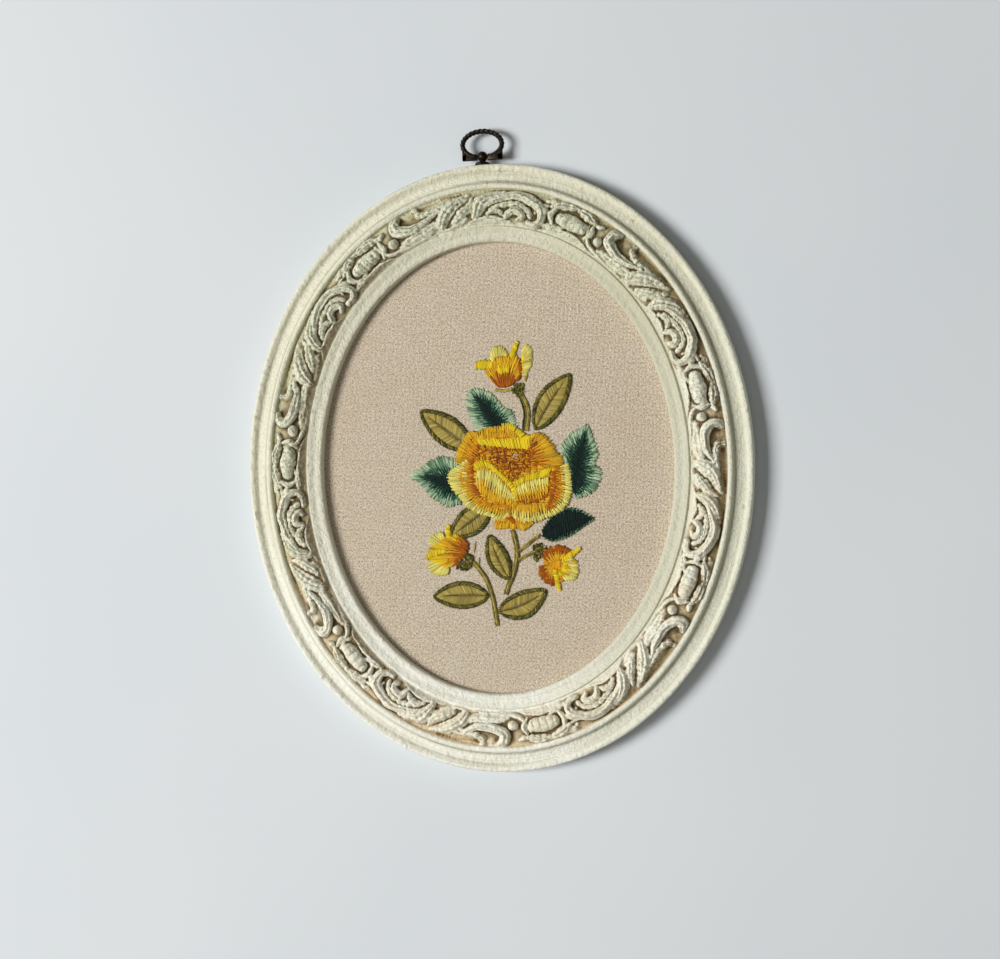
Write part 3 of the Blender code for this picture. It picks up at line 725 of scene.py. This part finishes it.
def stitches_between(start, end, shade, lift=0.0, width=STITCH_WIDTH, rise=0.35):
    """One row of stitches, given their two ends: a little uneven in width, height and shade."""
    count = len(start)
    level = LINEN_FACE - 0.1 + lift + DICE.uniform(0, 0.22, count)
    widths = width * DICE.uniform(0.80, 1.12, count)
    names = [shade] if isinstance(shade, str) else shade
    tones = np.array([srgb(*SHADES[name])[:3] for name in names])
    colours = tones[DICE.integers(0, len(names), count)]
    colours = colours * DICE.normal(1.0, 0.15, count).clip(0.65, 1.4)[:, None]
    return (
        np.column_stack([start, level]),
        np.column_stack([end, level + DICE.uniform(-0.05, 0.05, count)]),
        widths,
        np.full(count, rise),
        colours,
    )


def padding(outline, shade, lift=0.0):
    """Broad flat stitches that cover the linen under a shaded filling."""
    corners = np.array(outline, dtype=float)
    low, high = corners.min(axis=0), corners.max(axis=0)
    x, y = np.meshgrid(np.arange(low[0], high[0], 3.6), np.arange(low[1], high[1], 1.15))
    spots = np.column_stack([x.ravel(), y.ravel()]) + DICE.uniform(-0.4, 0.4, (x.size, 2))
    spots = spots[inside(spots, outline)]
    half = np.column_stack([DICE.uniform(1.9, 2.4, len(spots)), DICE.uniform(-0.3, 0.3, len(spots))])
    return [stitches_between(spots - half, spots + half, shade, lift - 0.25, 1.7, 0.25)]


def inside(points, outline):
    """Which points lie inside a closed outline."""
    hit = np.zeros(len(points), dtype=bool)
    for (ax, ay), (bx, by) in zip(outline, outline[1:] + outline[:1]):
        spans = (ay > points[:, 1]) != (by > points[:, 1])
        crossing = ax + (points[:, 1] - ay) * (bx - ax) / (by - ay + 1e-9)
        hit ^= spans & (points[:, 0] < crossing)
    return hit


def long_and_short(root, edge, rows, lift=0.0, pitch=0.76, ragged=0.09, width=STITCH_WIDTH, tips=0.02):
    """Shaded filling from a root line to an edge line: each row is (from, to, shade)."""
    laid = []
    for order, (low, high, shade) in enumerate(rows):
        lengths = [line_length(root) * (1 - at) + line_length(edge) * at for at in (low, high)]
        count = max(3, int((0.35 * min(lengths) + 0.65 * max(lengths)) / pitch))
        shares = (np.arange(count) + 0.5 + DICE.uniform(-0.25, 0.25, count)) / count
        inner, outer = along_line(root, shares), along_line(edge, shares)
        stagger = np.where(np.arange(count) % 2, ragged, -ragged)
        near = (low + stagger * (low > 0) + DICE.uniform(-0.4, 0.4, count) * ragged)[:, None]
        far = (high + stagger * (high < 1) + DICE.uniform(-0.4, 0.4, count) * ragged)[:, None]
        far += (DICE.uniform(-1, 1, count) * tips * (high >= 1))[:, None]
        wander = DICE.normal(0, 0.08, (2, count, 2))
        start = inner + (outer - inner) * near + wander[0]
        end = inner + (outer - inner) * far + wander[1]
        laid.append(stitches_between(start, end, shade, lift + 0.10 * order, width))
    return laid


def row_places(line, pitch):
    """Evenly spaced places on a line: their shares of it, and its way ahead and left side there."""
    count = max(3, int(line_length(line) / pitch))
    shares = (np.arange(count) + 0.5) / count
    places = along_line(line, shares)
    ahead = np.gradient(places, axis=0)
    ahead /= np.linalg.norm(ahead, axis=1)[:, None]
    return shares, places, ahead, np.stack([-ahead[:, 1], ahead[:, 0]], axis=1)


def satin(line, half_widths, slant, shade, lift=0.0, pitch=0.7, width=STITCH_WIDTH):
    """Short stitches side by side along a line, across it or leaning forward."""
    shares, places, ahead, side = row_places(line, pitch)
    half = np.interp(shares, np.linspace(0, 1, len(half_widths)), half_widths)[:, None]
    half = half * DICE.uniform(0.85, 1.1, (len(places), 1))
    half_run = side * half + ahead * half * slant
    return [stitches_between(places - half_run, places + half_run, shade, lift, width)]


# ROSE: seven petals in long and short stitch, each row one shade, lemon at the outer edges and
# rust at the roots, round a centre of criss-crossed seed stitches with one pale knot.
ROSE_OUTLINE = [
    (-18, 6), (-14, 14), (-8, 18), (2, 21), (9, 20), (19, 14), (25, 15), (31, 8), (33, 2), (37, -3),
    (38, -13), (35, -19), (28, -23), (17, -26), (14, -31), (2, -31), (1, -25), (-9, -21), (-16, -15),
    (-22, -4),
]
LEFT_PETAL = [(-18, 3), (-25, -2.6), (-24, -9), (-18, -17), (-15, -13), (-17, -5)]
HEART = [(-9, 12.6), (0, 11.4), (12, 10), (20.5, 10), (19.5, 1), (14, -3), (9, -7), (3, -1), (-3, 4.5)]
HEART += [(-9.5, 5.5)]
KNOT = [(10, 5), (12.4, 5), (12.4, 7.6), (10, 7.6)]

# Petals after the lowest one: root line, edge line, rows, lift, raggedness
PETALS = [
    # Left upper petal, gold with an orange root
    ([(-14, 1.5), (-10.5, 5), (-9, 10), (-10, 15)],
     [(-23.5, 3.5), (-22.5, 9), (-18.5, 16), (-14.5, 20.8), (-10.5, 19.8)],
     [(0, 0.35, "rust"), (0.15, 0.7, "orange"), (0.55, 1, "gold")], 0.05, 0.09),
    # Upper petal, and its bright rims
    ([(-10, 16.5), (-3, 16), (4, 16.3), (11.5, 16.5)],
     [(-10.5, 20.5), (-4, 22.8), (2, 23.4), (8, 22.2), (12, 18.2)],
     [(0, 0.6, "gold"), (0.45, 1, "gold")], 0.05, 0.09),
    ([(3.8, 21.2), (8.4, 20.2), (12.5, 17), (16, 14)],
     [(3.6, 24.8), (7.4, 25), (11.8, 22.6), (16.5, 19), (21.5, 17)],
     [(0, 1, "yellow")], 0.15, 0.09),
    ([(-12, 18.5), (-8.5, 16.6), (0, 16.2), (8, 16.4), (13.5, 17), (21, 17)],
     [(-9, 12.6), (-4, 12.2), (0, 11.3), (6, 10.5), (12, 9.6), (18, 9.2), (21.5, 10)],
     [(0, 1, "yellow")], 0.2, 0.12),
    # Right upper petal: rust spokes run out into gold
    ([(19.5, 14), (18.5, 9), (18.5, 4), (20.5, 0.8)],
     [(20.5, 18.8), (25.5, 19), (30.5, 14.5), (34.5, 9), (38.5, 4), (37, 0.4)],
     [(0, 0.5, "orange"), (0.38, 1, "gold"), (0.0, 0.42, "rust")], 0.05, 0.16),
    # Outer petals down the left, along the foot and up the right
    ([(-13.5, 2), (-12, -4), (-10.5, -11), (-7, -16.5)],
     [(-17, 5), (-22.4, 1.4), (-27.6, -3), (-26.2, -9.4), (-21, -16.6), (-15.5, -22.5)],
     [(0, 0.34, "rust"), (0.22, 0.66, "orange"), (0.34, 0.62, "gold"), (0.58, 1, "lemon")], 0.1, 0.09),
    ([(-8, -15.5), (-3, -19), (3, -20.3), (9, -19.8)],
     [(-15.5, -22), (-10, -25.6), (-4, -27), (1, -29.2), (6.5, -27.2)],
     [(0, 0.42, "orange"), (0.28, 0.66, "gold"), (0.6, 1, "lemon")], 0.1, 0.09),
    ([(9, -19.4), (17, -20), (24, -19.6), (28, -18)],
     [(8.5, -27.4), (13, -30), (18, -30.4), (24, -29.4), (29.5, -27)],
     [(0, 0.62, "gold"), (0.5, 1, "lemon")], 0.1, 0.16),
    ([(31, -1), (30, -8), (29.5, -14), (28.5, -19), (26.5, -20.5)],
     [(40.5, 2), (41.8, -5), (42.2, -13), (40, -20), (34.5, -25.5), (29, -27.5)],
     [(0, 0.46, "rust"), (0.3, 0.62, "orange"), (0.58, 1, "lemon")], 0.1, 0.09),
    # Two cupped inner petals, each shaded up to a bright turned rim
    ([(-10.8, -11.5), (-7, -15.8), (-2, -18.8), (3, -19.8), (8, -19.8), (10.4, -19)],
     [(-11.3, -1.6), (-6, 0.2), (-1, -2.4), (4, -7.4), (8, -12.4), (10.4, -17)],
     [(0, 0.5, "gold"), (0.4, 1, "lemon")], 0.25, 0.14),
    ([(-10.5, -1.2), (-6, 0.6), (-1, -2), (4, -7), (8, -12), (9.8, -18.6)],
     [(-13, 2.2), (-7.8, 4.6), (-2.6, 2.6), (3.2, -2.8), (8.4, -7.2), (11.6, -12.6), (11.8, -18.6)],
     [(0, 1, "yellow")], 0.45, 0.09),
    ([(12, -19), (17, -19.8), (22, -19.5), (27, -18), (29, -14.6)],
     [(10.2, -11.6), (15, -8.6), (20, -7), (25, -6), (29.4, -5)],
     [(0, 0.34, "rust"), (0.24, 0.64, "gold"), (0.56, 1, "lemon")], 0.25, 0.12),
    ([(10.5, -11.6), (15, -8.8), (20, -7.2), (25, -6.2), (29, -4.2)],
     [(9.6, -7.2), (14, -5.4), (20, -3.2), (26.4, -0.8), (31.6, 0)],
     [(0, 1, "yellow")], 0.45, 0.09),
]

# Seed stitches at the centre: outline, number, length, shade, lift, width
SEEDS = [
    (HEART, 240, 4.0, ["rust", "brown"], 0.0, 0.95),
    (HEART, 170, 3.6, ["brown", "rust"], 0.2, 0.85),
    (HEART, 70, 3.6, ["rust", "orange"], 0.35, 0.8),
    (HEART, 22, 3.2, "gold", 0.45, 0.6),
    (KNOT, 10, 1.8, "white", 0.5, 0.7),
]


def seed_stitches(outline, count, longest, shade, lift, width=0.75):
    """Loose little stitches in every direction inside an outline."""
    corners = np.array(outline)
    spots = DICE.uniform(corners.min(axis=0), corners.max(axis=0), (count * 3, 2))
    spots = spots[inside(spots, outline)][:count]
    angle = DICE.uniform(0, math.pi, len(spots))
    lengths = DICE.uniform(0.6, 1, (len(spots), 1))
    half = np.stack([np.cos(angle), np.sin(angle)], axis=1) * lengths * longest / 2
    return [stitches_between(spots - half, spots + half, shade, lift, width)]


rose = padding(ROSE_OUTLINE, ["gold", "orange"])
rose += padding(LEFT_PETAL, "lemon", 0.2)
rose += long_and_short(
    [(-1, -28), (4, -27.5), (9, -26), (14, -29), (19, -29.5)],
    [(-1.5, -31), (-0.5, -33.8), (6.5, -33.6), (15.5, -34.4), (20.5, -30.5)],
    [(0, 0.5, "orange"), (0.35, 1, "gold")],
)
rose += satin([(7, -27), (9.5, -30.5)], [2.0, 1.2], 0.2, "rust", 0.35)
for root, edge_line, rows, lift, ragged in PETALS:
    rose += long_and_short(root, edge_line, rows, lift, ragged=ragged)
for outline, count, longest, shade, lift, width in SEEDS:
    rose += seed_stitches(outline, count, longest, shade, lift, width)
sew("rose_stitches", rose, ["rose"], 0.4)

# THREE BUDS: each a cup shaded from rust at its foot to yellow, with satin fingers and pale
# side petals, held by a few crossed olive stitches.
# Piece, node and how far it lies over its neighbours. Then its padding, its fillings (root line,
# edge line, rows, lift, raggedness), its satin bars (line, half widths, slant, shade, lift), the
# outline of its calyx with the numbers of dark and light stitches there, and a last bar or none.
BUDS = [
    ("top_bud_stitches", "bud_top", 0.0, [], [
        ([(0.5, 57), (1, 60), (3, 61), (6, 61)],
         [(-2.6, 60.5), (-1.6, 65.6), (2, 67.6), (5.8, 66.2), (8, 62)],
         [(0, 1, "lemon")], 0.0, 0.09),
        ([(14.6, 50.5), (14.8, 55), (15.2, 60), (15.8, 64)],
         [(17.8, 50.2), (20.6, 54.6), (21.8, 60), (21.2, 65.4), (17.6, 68)],
         [(0, 1, "lemon"), (0, 0.45, ["yellow", "lemon"])], 0.0, 0.09),
        ([(0.5, 46), (4.5, 44.6), (9, 46)],
         [(-5.5, 52.4), (-4, 57), (1, 60.5), (6, 61.5), (12.5, 62.2), (15, 57), (14.8, 50.5)],
         [(0.3, 0.8, ["gold", "orange"]), (0.55, 1, "gold"), (0, 0.48, "rust")], 0.1, 0.14),
        ([(11.6, 47), (13, 51), (13, 56)], [(14.6, 49), (16, 54), (14.6, 60)], [(0, 1, "rust")], 0.3, 0.09),
        ([(2, 44.2), (6, 44), (10, 45.4)], [(-2.5, 48.6), (4.5, 48.4), (12.5, 49)], [(0, 1, "rust")],
         0.3, 0.09),
        ([(3, 51), (8, 51.5)], [(-1, 60), (4, 61.4), (9, 61.6)], [(0, 0.62, "yellow"), (0.5, 1, "gold")],
         0.35, 0.09),
    ], [
        ([(-1, 56.6), (-6, 57), (-10.6, 56.6)], [2.2, 3.0, 2.1], 0.1, "yellow", 0.3),
        ([(9.4, 60.5), (11.4, 65), (13.2, 69)], [1.7, 1.6, 1.1], 0.3, "yellow", 0.3),
        ([(0, 43), (5, 42.2), (9.4, 43.2)], [0.8, 0.9, 0.8], 0.6, "straw", 0.0),
    ], [(9, 43), (12, 46.4), (16, 46.8), (16.6, 40), (13, 38.6)], (60, 24),
        [([(17.4, 51), (16.8, 47)], [1.4, 0.8], 0.3, "straw", 0.0)]),
    ("left_bud_stitches", "bud_left", 0.3, [], [
        ([(-29.5, -38.5), (-32, -40.5), (-34, -43)],
         [(-31, -34.6), (-36, -35.4), (-39, -38.4), (-39, -42)],
         [(0, 1, "lemon")], 0.0, 0.09),
        ([(-33, -50.5), (-30, -53), (-27.5, -55)],
         [(-40.5, -51), (-39.4, -56.5), (-34, -59.2), (-28.5, -58.6)],
         [(0, 1, "lemon")], 0.0, 0.09),
        ([(-20, -41), (-19.5, -46), (-23, -52)],
         [(-22.5, -35.6), (-30, -37.4), (-37.6, -42), (-40.4, -47.6), (-36, -52.5), (-29, -55)],
         [(0.42, 1, ["gold", "yellow"]), (0.12, 0.62, ["gold", "orange"]), (0, 0.4, "rust")], 0.1, 0.13),
        ([(-21.6, -37), (-20.6, -43), (-25, -51)], [(-17.4, -40), (-16.4, -44.4), (-23, -54.6)],
         [(0, 1, "rust")], 0.3, 0.09),
        ([(-26, -45), (-28, -50)], [(-24, -53.5), (-31, -53.5)], [(0, 1, "orange")], 0.3, 0.09),
    ], [
        ([(-29, -45.6), (-34.6, -46), (-40.4, -49)], [0.9, 2.3, 1.5], 0.2, "yellow", 0.35),
        ([(-27.4, -38), (-27.8, -34.6), (-27.4, -31)], [1.7, 1.7, 1.1], 0.25, "yellow", 0.3),
    ], [(-23.6, -51), (-18.6, -46.6), (-14.6, -47.4), (-13.6, -51.6), (-17, -55.6), (-23, -56)], (60, 24),
        []),
    ("right_bud_stitches", "bud_right", 0.0,
     [(25, -46), (32, -44), (39, -46), (43, -52), (42, -59), (34, -63), (28, -63), (24, -58)], [
        ([(34, -52), (35, -54.5), (33, -58)],
         [(41, -49.4), (44.8, -52.6), (44.2, -60.6), (38, -62.6)],
         [(0, 0.55, "yellow"), (0.45, 1, "lemon")], 0.0, 0.09),
        ([(31.5, -53), (30.5, -56)],
         [(22, -54), (22.4, -59.6), (26.4, -64.2), (32, -65)],
         [(0, 0.6, ["gold", "orange"]), (0.42, 1, "rust")], 0.1, 0.14),
        ([(30.5, -53), (33, -51.5), (36, -50)],
         [(23.6, -49), (28, -44), (34.5, -42.6), (40.8, -45)],
         [(0, 0.6, ["gold", "orange"]), (0.42, 1, "rust")], 0.15, 0.14),
    ], [
        ([(27, -53), (31, -53.6), (36, -52.6)], [2.2, 2.8, 2.2], 0.3, ["gold", "orange"], 0.25),
        ([(36, -51), (41.5, -47.6), (46, -44.4)], [1.6, 1.9, 0.9], 0.3, "yellow", 0.35),
        ([(31.6, -56), (32.6, -62), (34, -67.6)], [1.6, 1.9, 1.0], 0.3, "yellow", 0.35),
    ], [(19.6, -43), (24, -41.6), (27, -44), (23.6, -48.8), (21, -52), (19.4, -48)], (70, 26), []),
]
for name, node, over, pad, fillings, bars, calyx, numbers, last_bars in BUDS:
    bud = padding(pad, "orange") if pad else []
    for root, edge_line, rows, lift, ragged in fillings:
        bud += long_and_short(root, edge_line, rows, lift, ragged=ragged)
    for line, half_widths, slant, shade, lift in bars:
        bud += satin(line, half_widths, slant, shade, lift)
    bud += seed_stitches(calyx, numbers[0], 2.6, ["olive", "moss"], 0.0, 1.1)
    bud += seed_stitches(calyx, numbers[1], 2.2, ["khaki", "tan"], 0.2, 0.8)
    for line, half_widths, slant, shade, lift in last_bars:
        bud += satin(line, half_widths, slant, shade, lift)
    sew(name, bud, [node], over)

# OLIVE LEAVES: two halves of tan satin stitch that meet at a midrib, inside an outline two
# millimetres wide of slanting dark olive stitches.
# Node, base, tip, widest, bend
OLIVE_LEAVES = [
    ("leaf_top_right", (22.3, 21), (42.2, 50.4), 15.5, 0.03),
    ("leaf_top_left", (-13.5, 10.5), (-42.4, 32.4), 16.5, 0.0),
    ("leaf_mid_left", (-4, -21.5), (-26.5, -37.5), 15.5, 0.0),
    ("leaf_low_middle", (6.2, -61), (-4.8, -36.8), 12, 0.04),
    ("leaf_low_left", (-5.8, -70.2), (-37, -70.6), 15, -0.02),
    ("leaf_low_right", (0, -79), (26.6, -67.4), 15, -0.07),
]


def leaf_lines(base, tip, widest, bend, belly=0.9):
    """A leaf's midrib and its two sides, each from base to tip."""
    base, tip = np.array(base, dtype=float), np.array(tip, dtype=float)
    run = tip - base
    cross = np.array([-run[1], run[0]])
    shares = np.linspace(0, 1, 13)[:, None]
    midrib = base + run * shares + cross * bend * np.sin(math.pi * shares)
    half = widest / 2 * np.sin(math.pi * shares**belly) ** 0.8
    normal = cross / np.linalg.norm(cross)
    return midrib, midrib + normal * half, midrib - normal * half


for node, base, tip, widest, bend in OLIVE_LEAVES:
    midrib, left, right_side = leaf_lines(base, tip, widest, bend)
    core, inner_left, inner_right = leaf_lines(
        midrib[0] + 0.4 * (midrib[1] - midrib[0]),
        midrib[-1] + 0.5 * (midrib[-2] - midrib[-1]),
        widest - 3.6,
        bend * 0.9,
    )
    leaf = []
    root = along_line(core, np.linspace(0, 0.90, 9))
    for half, tone in ((inner_left, ["tan", "straw", "tan"]), (inner_right, ["straw", "tan", "straw"])):
        lean = along_line(half, np.linspace(0.10, 1.0, 9))
        leaf += long_and_short(root, lean, [(0.05, 1.02, tone)], 0.0, 0.58, 0.03, 0.85)
    leaf += satin(core, [0.15, 0.35, 0.25], 2.2, "khaki", 0.1, 1.2, 0.6)
    for edge_line, turn in ((left, -1.1), (right_side, 1.1)):
        drawn_in = midrib + (edge_line - midrib) * 0.86
        leaf += satin(drawn_in, [0.9, 1.35, 1.4, 1.3, 0.9], turn, ["olive", "moss"], 0.12, 1.1, 1.05)
        leaf += satin(drawn_in, [0.6, 0.9, 1.0, 0.7], turn, ["khaki", "tan"], 0.32, 1.4, 0.6)
    sew(node + "_stitches", leaf, [node])

# TEAL LEAVES: long and short stitch from a dark heart out to pale, jagged tips of mint.
# Node, then the two sides as (heart line, edge line)
FEATHERED = [
    ("leaf_teal_top", [
        ([(3, 22), (-1, 27), (-4.6, 32), (-8.4, 37)],
         [(-10, 20), (-14, 26), (-16, 33), (-16, 39), (-15.4, 44)]),
        ([(3, 22), (-1, 27), (-4.6, 32), (-8.4, 37)],
         [(12.4, 22.6), (9.4, 31.5), (5.5, 33), (0, 40), (-7, 43.8), (-15.4, 44)]),
    ]),
    ("leaf_teal_left", [
        ([(-22, -10), (-27, -8.4), (-31.5, -6.6), (-36.5, -4.4)],
         [(-22, 4), (-27, 6.4), (-34.5, 6.4), (-42, 2), (-49.4, -3.4)]),
        ([(-22, -10), (-27, -8.8), (-31.5, -7), (-36.5, -4.6)],
         [(-20, -19.6), (-28, -21.4), (-36.7, -16.4), (-42, -10), (-49.4, -3.8)]),
    ]),
    ("leaf_teal_right", [
        ([(43, -14), (44, -5), (46, 4), (48.6, 13)],
         [(40.4, -6), (37, 8), (36, 11), (41, 17.6), (51, 23.6)]),
        ([(43, -14), (44.6, -5), (46.6, 4), (48.8, 13)],
         [(43.5, -17.6), (50.5, -16.4), (57, -10.6), (58.8, -3), (55.4, 1), (57.2, 7.4), (54.6, 14),
          (51.4, 23.4)]),
    ]),
]
for node, halves in FEATHERED:
    leaf = []
    for heart_line, edge_line in halves:
        rows = [(0.5, 1.0, ["mint", "mint", "sage"]), (0.42, 0.7, "sage"), (0.26, 0.58, "teal")]
        rows += [(0, 0.46, "deep_teal"), (0, 0.24, "ink_teal")]
        leaf += long_and_short(heart_line, edge_line, rows, 0.0, 0.76, 0.12, 1.0, 0.05)
    leaf += satin(halves[0][0], [1.8, 2.2, 1.7, 0.5], 1.2, "ink_teal", 0.35, 0.8, 0.8)
    sew(node + "_stitches", leaf, [node])

# DARK LEAF: close satin stitch in the darkest teal inside a blanket-stitched edge.
dark_heart = [(25.5, -36.6), (33, -32.6), (42, -29.6), (52.5, -28.6)]
leaf = []
for edge_line in (
    [(24.6, -35.5), (29, -28.5), (34, -24.8), (40.5, -22.8), (47, -24.4), (53.6, -28.4)],
    [(25, -37.6), (28.6, -40), (32, -40.4), (40, -37.6), (47, -33), (53.6, -28.8)],
):
    leaf += long_and_short(dark_heart, edge_line, [(-0.1, 0.9, "ink_teal")], 0.0, 0.65, 0.04)
    rim_shades = ["deep_teal", "teal"]
    leaf += long_and_short(dark_heart, edge_line, [(0.74, 1.0, rim_shades)], 0.15, 1.2, 0.05)
    rim = along_line(edge_line, np.linspace(0, 1, 9))
    leaf += satin(rim, [0.55, 0.55], 1.4, ["teal", "sage"], 0.5, 1.8, 0.85)
sew("leaf_teal_dark_stitches", leaf, ["leaf_teal_dark"])

# STEMS: two or three rows of stem stitch in tan and olive, each stitch lapping the last.
STEM_PITCH = 1.5
STEM_REACH = 3.0
STEM_LEAN = 0.26
STEM_SHADES = (["khaki", "tan"], ["straw", "tan"], ["olive", "khaki"])

# Node, middle line, rows, spread of the rows
STEM_LINES = [
    ("stem_main", [(-17.5, -49.5), (-12, -54), (-6.6, -62), (-3.4, -72), (-2.2, -79), (-1.2, -86.4)], 3, 1.6),
    ("stem_rose", [(8.4, -34.6), (10, -41), (10.6, -48), (8.8, -57), (5.8, -64), (4, -69)], 3, 1.9),
    ("stem_top_bud", [(17, 20.5), (18, 27), (17.4, 34), (13.4, 42)], 3, 1.8),
    ("stem_right_bud", [(11.4, -51), (15.6, -48.4), (20.4, -46.6)], 2, 1.0),
    ("stem_dark_leaf", [(12.4, -45.4), (16.4, -42.4), (20, -39.6), (23.6, -37.2)], 2, 1.0),
]


def stem_stitch(line, offset, shade, lift=0.0, width=0.85):
    """Stitches that lean along a line and overlap by half, a little to one side of it."""
    _shares, places, ahead, side = row_places(line, STEM_PITCH)
    places = places + side * offset
    half = (ahead + STEM_LEAN * side) * STEM_REACH / 2
    return [stitches_between(places - half, places + half, shade, lift, width)]


for node, line, rows, spread in STEM_LINES:
    stem = []
    offsets = np.linspace(-spread / 2, spread / 2, rows)
    for offset, shade in zip(offsets, STEM_SHADES):
        stem += stem_stitch(line, offset, shade)
    if node == "stem_main":
        stem += stem_stitch([(-7, -70), (-3.4, -70.4)], 0, "olive", 0.1)
        stem += stem_stitch([(-13.6, -46), (-12.4, -40.8)], 0, "straw", width=0.5)
        stem += stem_stitch([(-11.4, -54.6), (-10.4, -49.6)], 0, "straw", width=0.5)
    if node == "stem_top_bud":
        stem += stem_stitch([(15, 21), (16, 30), (14, 38)], 0, "moss", 0.0, width=0.7)
    sew(node + "_stitches", stem, [node])

# HANGER: a turned bronze stud with collar and ball, driven into the top edge. Its bail, a
# twisted oval ring on two square feet, hangs on a pin through the ball and swings.
STUD = Vector((-4.5, 161.175, 6.6))
BALL_R = 2.8
BAIL_R = 1.4
BAIL_HALF = (11.0, 7.3)
BAIL_RISE = 6.6
FIRST_BAIL_RING = 20
PIN_R = 1.0
PIN_LENGTH = 8.0
FOOT_BACK = 2.1
FOOT_THICKNESS = 2.6
FOOT_BEVEL = 0.35

# Feet and shoulders: middle along the pin, then length and height
FEET = [(-7.15, (8.1, 3.4)), (7.15, (8.1, 3.4)), (-9.9, (2.6, 6.2)), (9.9, (2.6, 6.2))]

bronze, place, shader = new_finish("dark_bronze")
cloud = place.noise(500.0, 3.0)
worn = place.noise(1500.0, 2.0).step(0.58, 0.72)
metal = cloud.step(0.35, 0.7).tint(srgb(28, 25, 22), srgb(44, 38, 32))
metal = (worn * 0.5).tint(metal, srgb(150, 116, 72))
feed(shader, Base_Color=metal, Metallic=0.85, Roughness=0.34 + 0.25 * cloud, Normal=cloud.bump(0.3, 0.0002))


def finish_mesh(name, bm, sharp=35):
    """Scale a bmesh from millimetres, turn its faces out, and shade it with crisp corners."""
    bmesh.ops.remove_doubles(bm, verts=bm.verts, dist=0.0005)
    bmesh.ops.recalc_face_normals(bm, faces=bm.faces)
    bmesh.ops.scale(bm, verts=bm.verts, vec=(MM, MM, MM))
    mesh = bpy.data.meshes.new(name)
    bm.to_mesh(mesh)
    bm.free()
    mesh.shade_smooth()
    mesh.set_sharp_from_angle(angle=math.radians(sharp))
    return mesh


OUTER_TOP = STUD.y - 5.1
profile = [(0, -9), (1.3, -9), (1.5, -8.8), (1.5, 0.05), (3.9, 0.05), (4.15, 0.35), (4.2, 0.8)]
profile += [(4.05, 1.25), (3.6, 1.6), (3.0, 1.85), (2.2, 2.0), (1.8, 2.2), (1.7, 2.6)]
profile = [(radius, OUTER_TOP + y) for radius, y in profile]
for angle in np.linspace(math.asin(1.7 / BALL_R), math.pi, 14)[1:-1]:
    profile.append((BALL_R * math.sin(angle), STUD.y - BALL_R * math.cos(angle)))
profile.append((0.0, STUD.y + BALL_R))
bm = bmesh.new()
line = [bm.verts.new((STUD.x + radius, y, STUD.z)) for radius, y in profile]
edges = [bm.edges.new(pair) for pair in zip(line, line[1:])]
turn = {"cent": (STUD.x, 0, STUD.z), "axis": (0, 1, 0), "angle": 2 * math.pi, "steps": 40}
bmesh.ops.spin(bm, geom=line + edges, use_merge=True, **turn)
stud_mesh = finish_mesh("hanger_stud", bm)
add_piece("hanger_stud", stud_mesh, bronze, "framed_picture", ["stud"])

bm = bmesh.new()
bmesh.ops.create_circle(bm, segments=16, radius=BAIL_R, cap_ends=False)
bmesh.ops.rotate(bm, verts=bm.verts, matrix=Matrix.Rotation(math.pi / 2, 3, "X"))
bmesh.ops.translate(bm, verts=bm.verts, vec=(FIRST_BAIL_RING, 0, 0))
low_turn = math.asin(BAIL_RISE / BAIL_HALF[1]) - 0.02
spun = {"cent": (0, 0, 0), "axis": (0, 0, 1), "angle": math.pi + 2 * low_turn, "steps": 220}
bmesh.ops.rotate(bm, verts=bm.verts, matrix=Matrix.Rotation(-low_turn, 3, "Z"))
bmesh.ops.spin(bm, geom=bm.verts[:] + bm.edges[:], **spun)
bmesh.ops.holes_fill(bm, edges=[edge for edge in bm.edges if edge.is_boundary])
for vert in bm.verts:
    angle = math.atan2(vert.co.y, vert.co.x)
    if angle < -math.pi / 2:
        angle += 2 * math.pi
    out = math.hypot(vert.co.x, vert.co.y) - FIRST_BAIL_RING
    round_angle = math.atan2(vert.co.z, out)
    arch = min(1.0, max(0.0, (math.sin(angle) + 0.55) * 2))
    grow = 1 + 0.13 * arch * (math.cos(3 * round_angle + angle * 26) - 0.4)
    normal = Vector((BAIL_HALF[1] * math.cos(angle), BAIL_HALF[0] * math.sin(angle))).normalized()
    x = BAIL_HALF[0] * math.cos(angle) + normal.x * out * grow
    y = BAIL_HALF[1] * math.sin(angle) + normal.y * out * grow
    vert.co = (STUD.x + x, STUD.y + BAIL_RISE + y, STUD.z + vert.co.z * grow)
for middle, size in FEET:
    foot = bmesh.ops.create_cube(bm, size=1.0)["verts"]
    bmesh.ops.scale(bm, verts=foot, vec=(*size, FOOT_THICKNESS))
    foot_place = (STUD.x + middle, STUD.y - FOOT_BACK + size[1] / 2, STUD.z)
    bmesh.ops.translate(bm, verts=foot, vec=foot_place)
    sides = list({edge for vert in foot for edge in vert.link_edges})
    softened = {"offset_type": "OFFSET", "segments": 2, "profile": 0.5, "affect": "EDGES", "material": -1}
    bmesh.ops.bevel(bm, geom=sides, offset=FOOT_BEVEL, **softened)
rod = {"segments": 16, "radius1": PIN_R, "radius2": PIN_R, "depth": PIN_LENGTH}
pin = bmesh.ops.create_cone(bm, cap_ends=True, **rod)["verts"]
bmesh.ops.rotate(bm, verts=pin, cent=(0, 0, 0), matrix=Matrix.Rotation(math.pi / 2, 3, "Y"))
bmesh.ops.translate(bm, verts=pin, vec=STUD)
bail_mesh = finish_mesh("hanger_bail", bm)
add_piece("hanger_bail", bail_mesh, bronze, "bail", ["bail"])
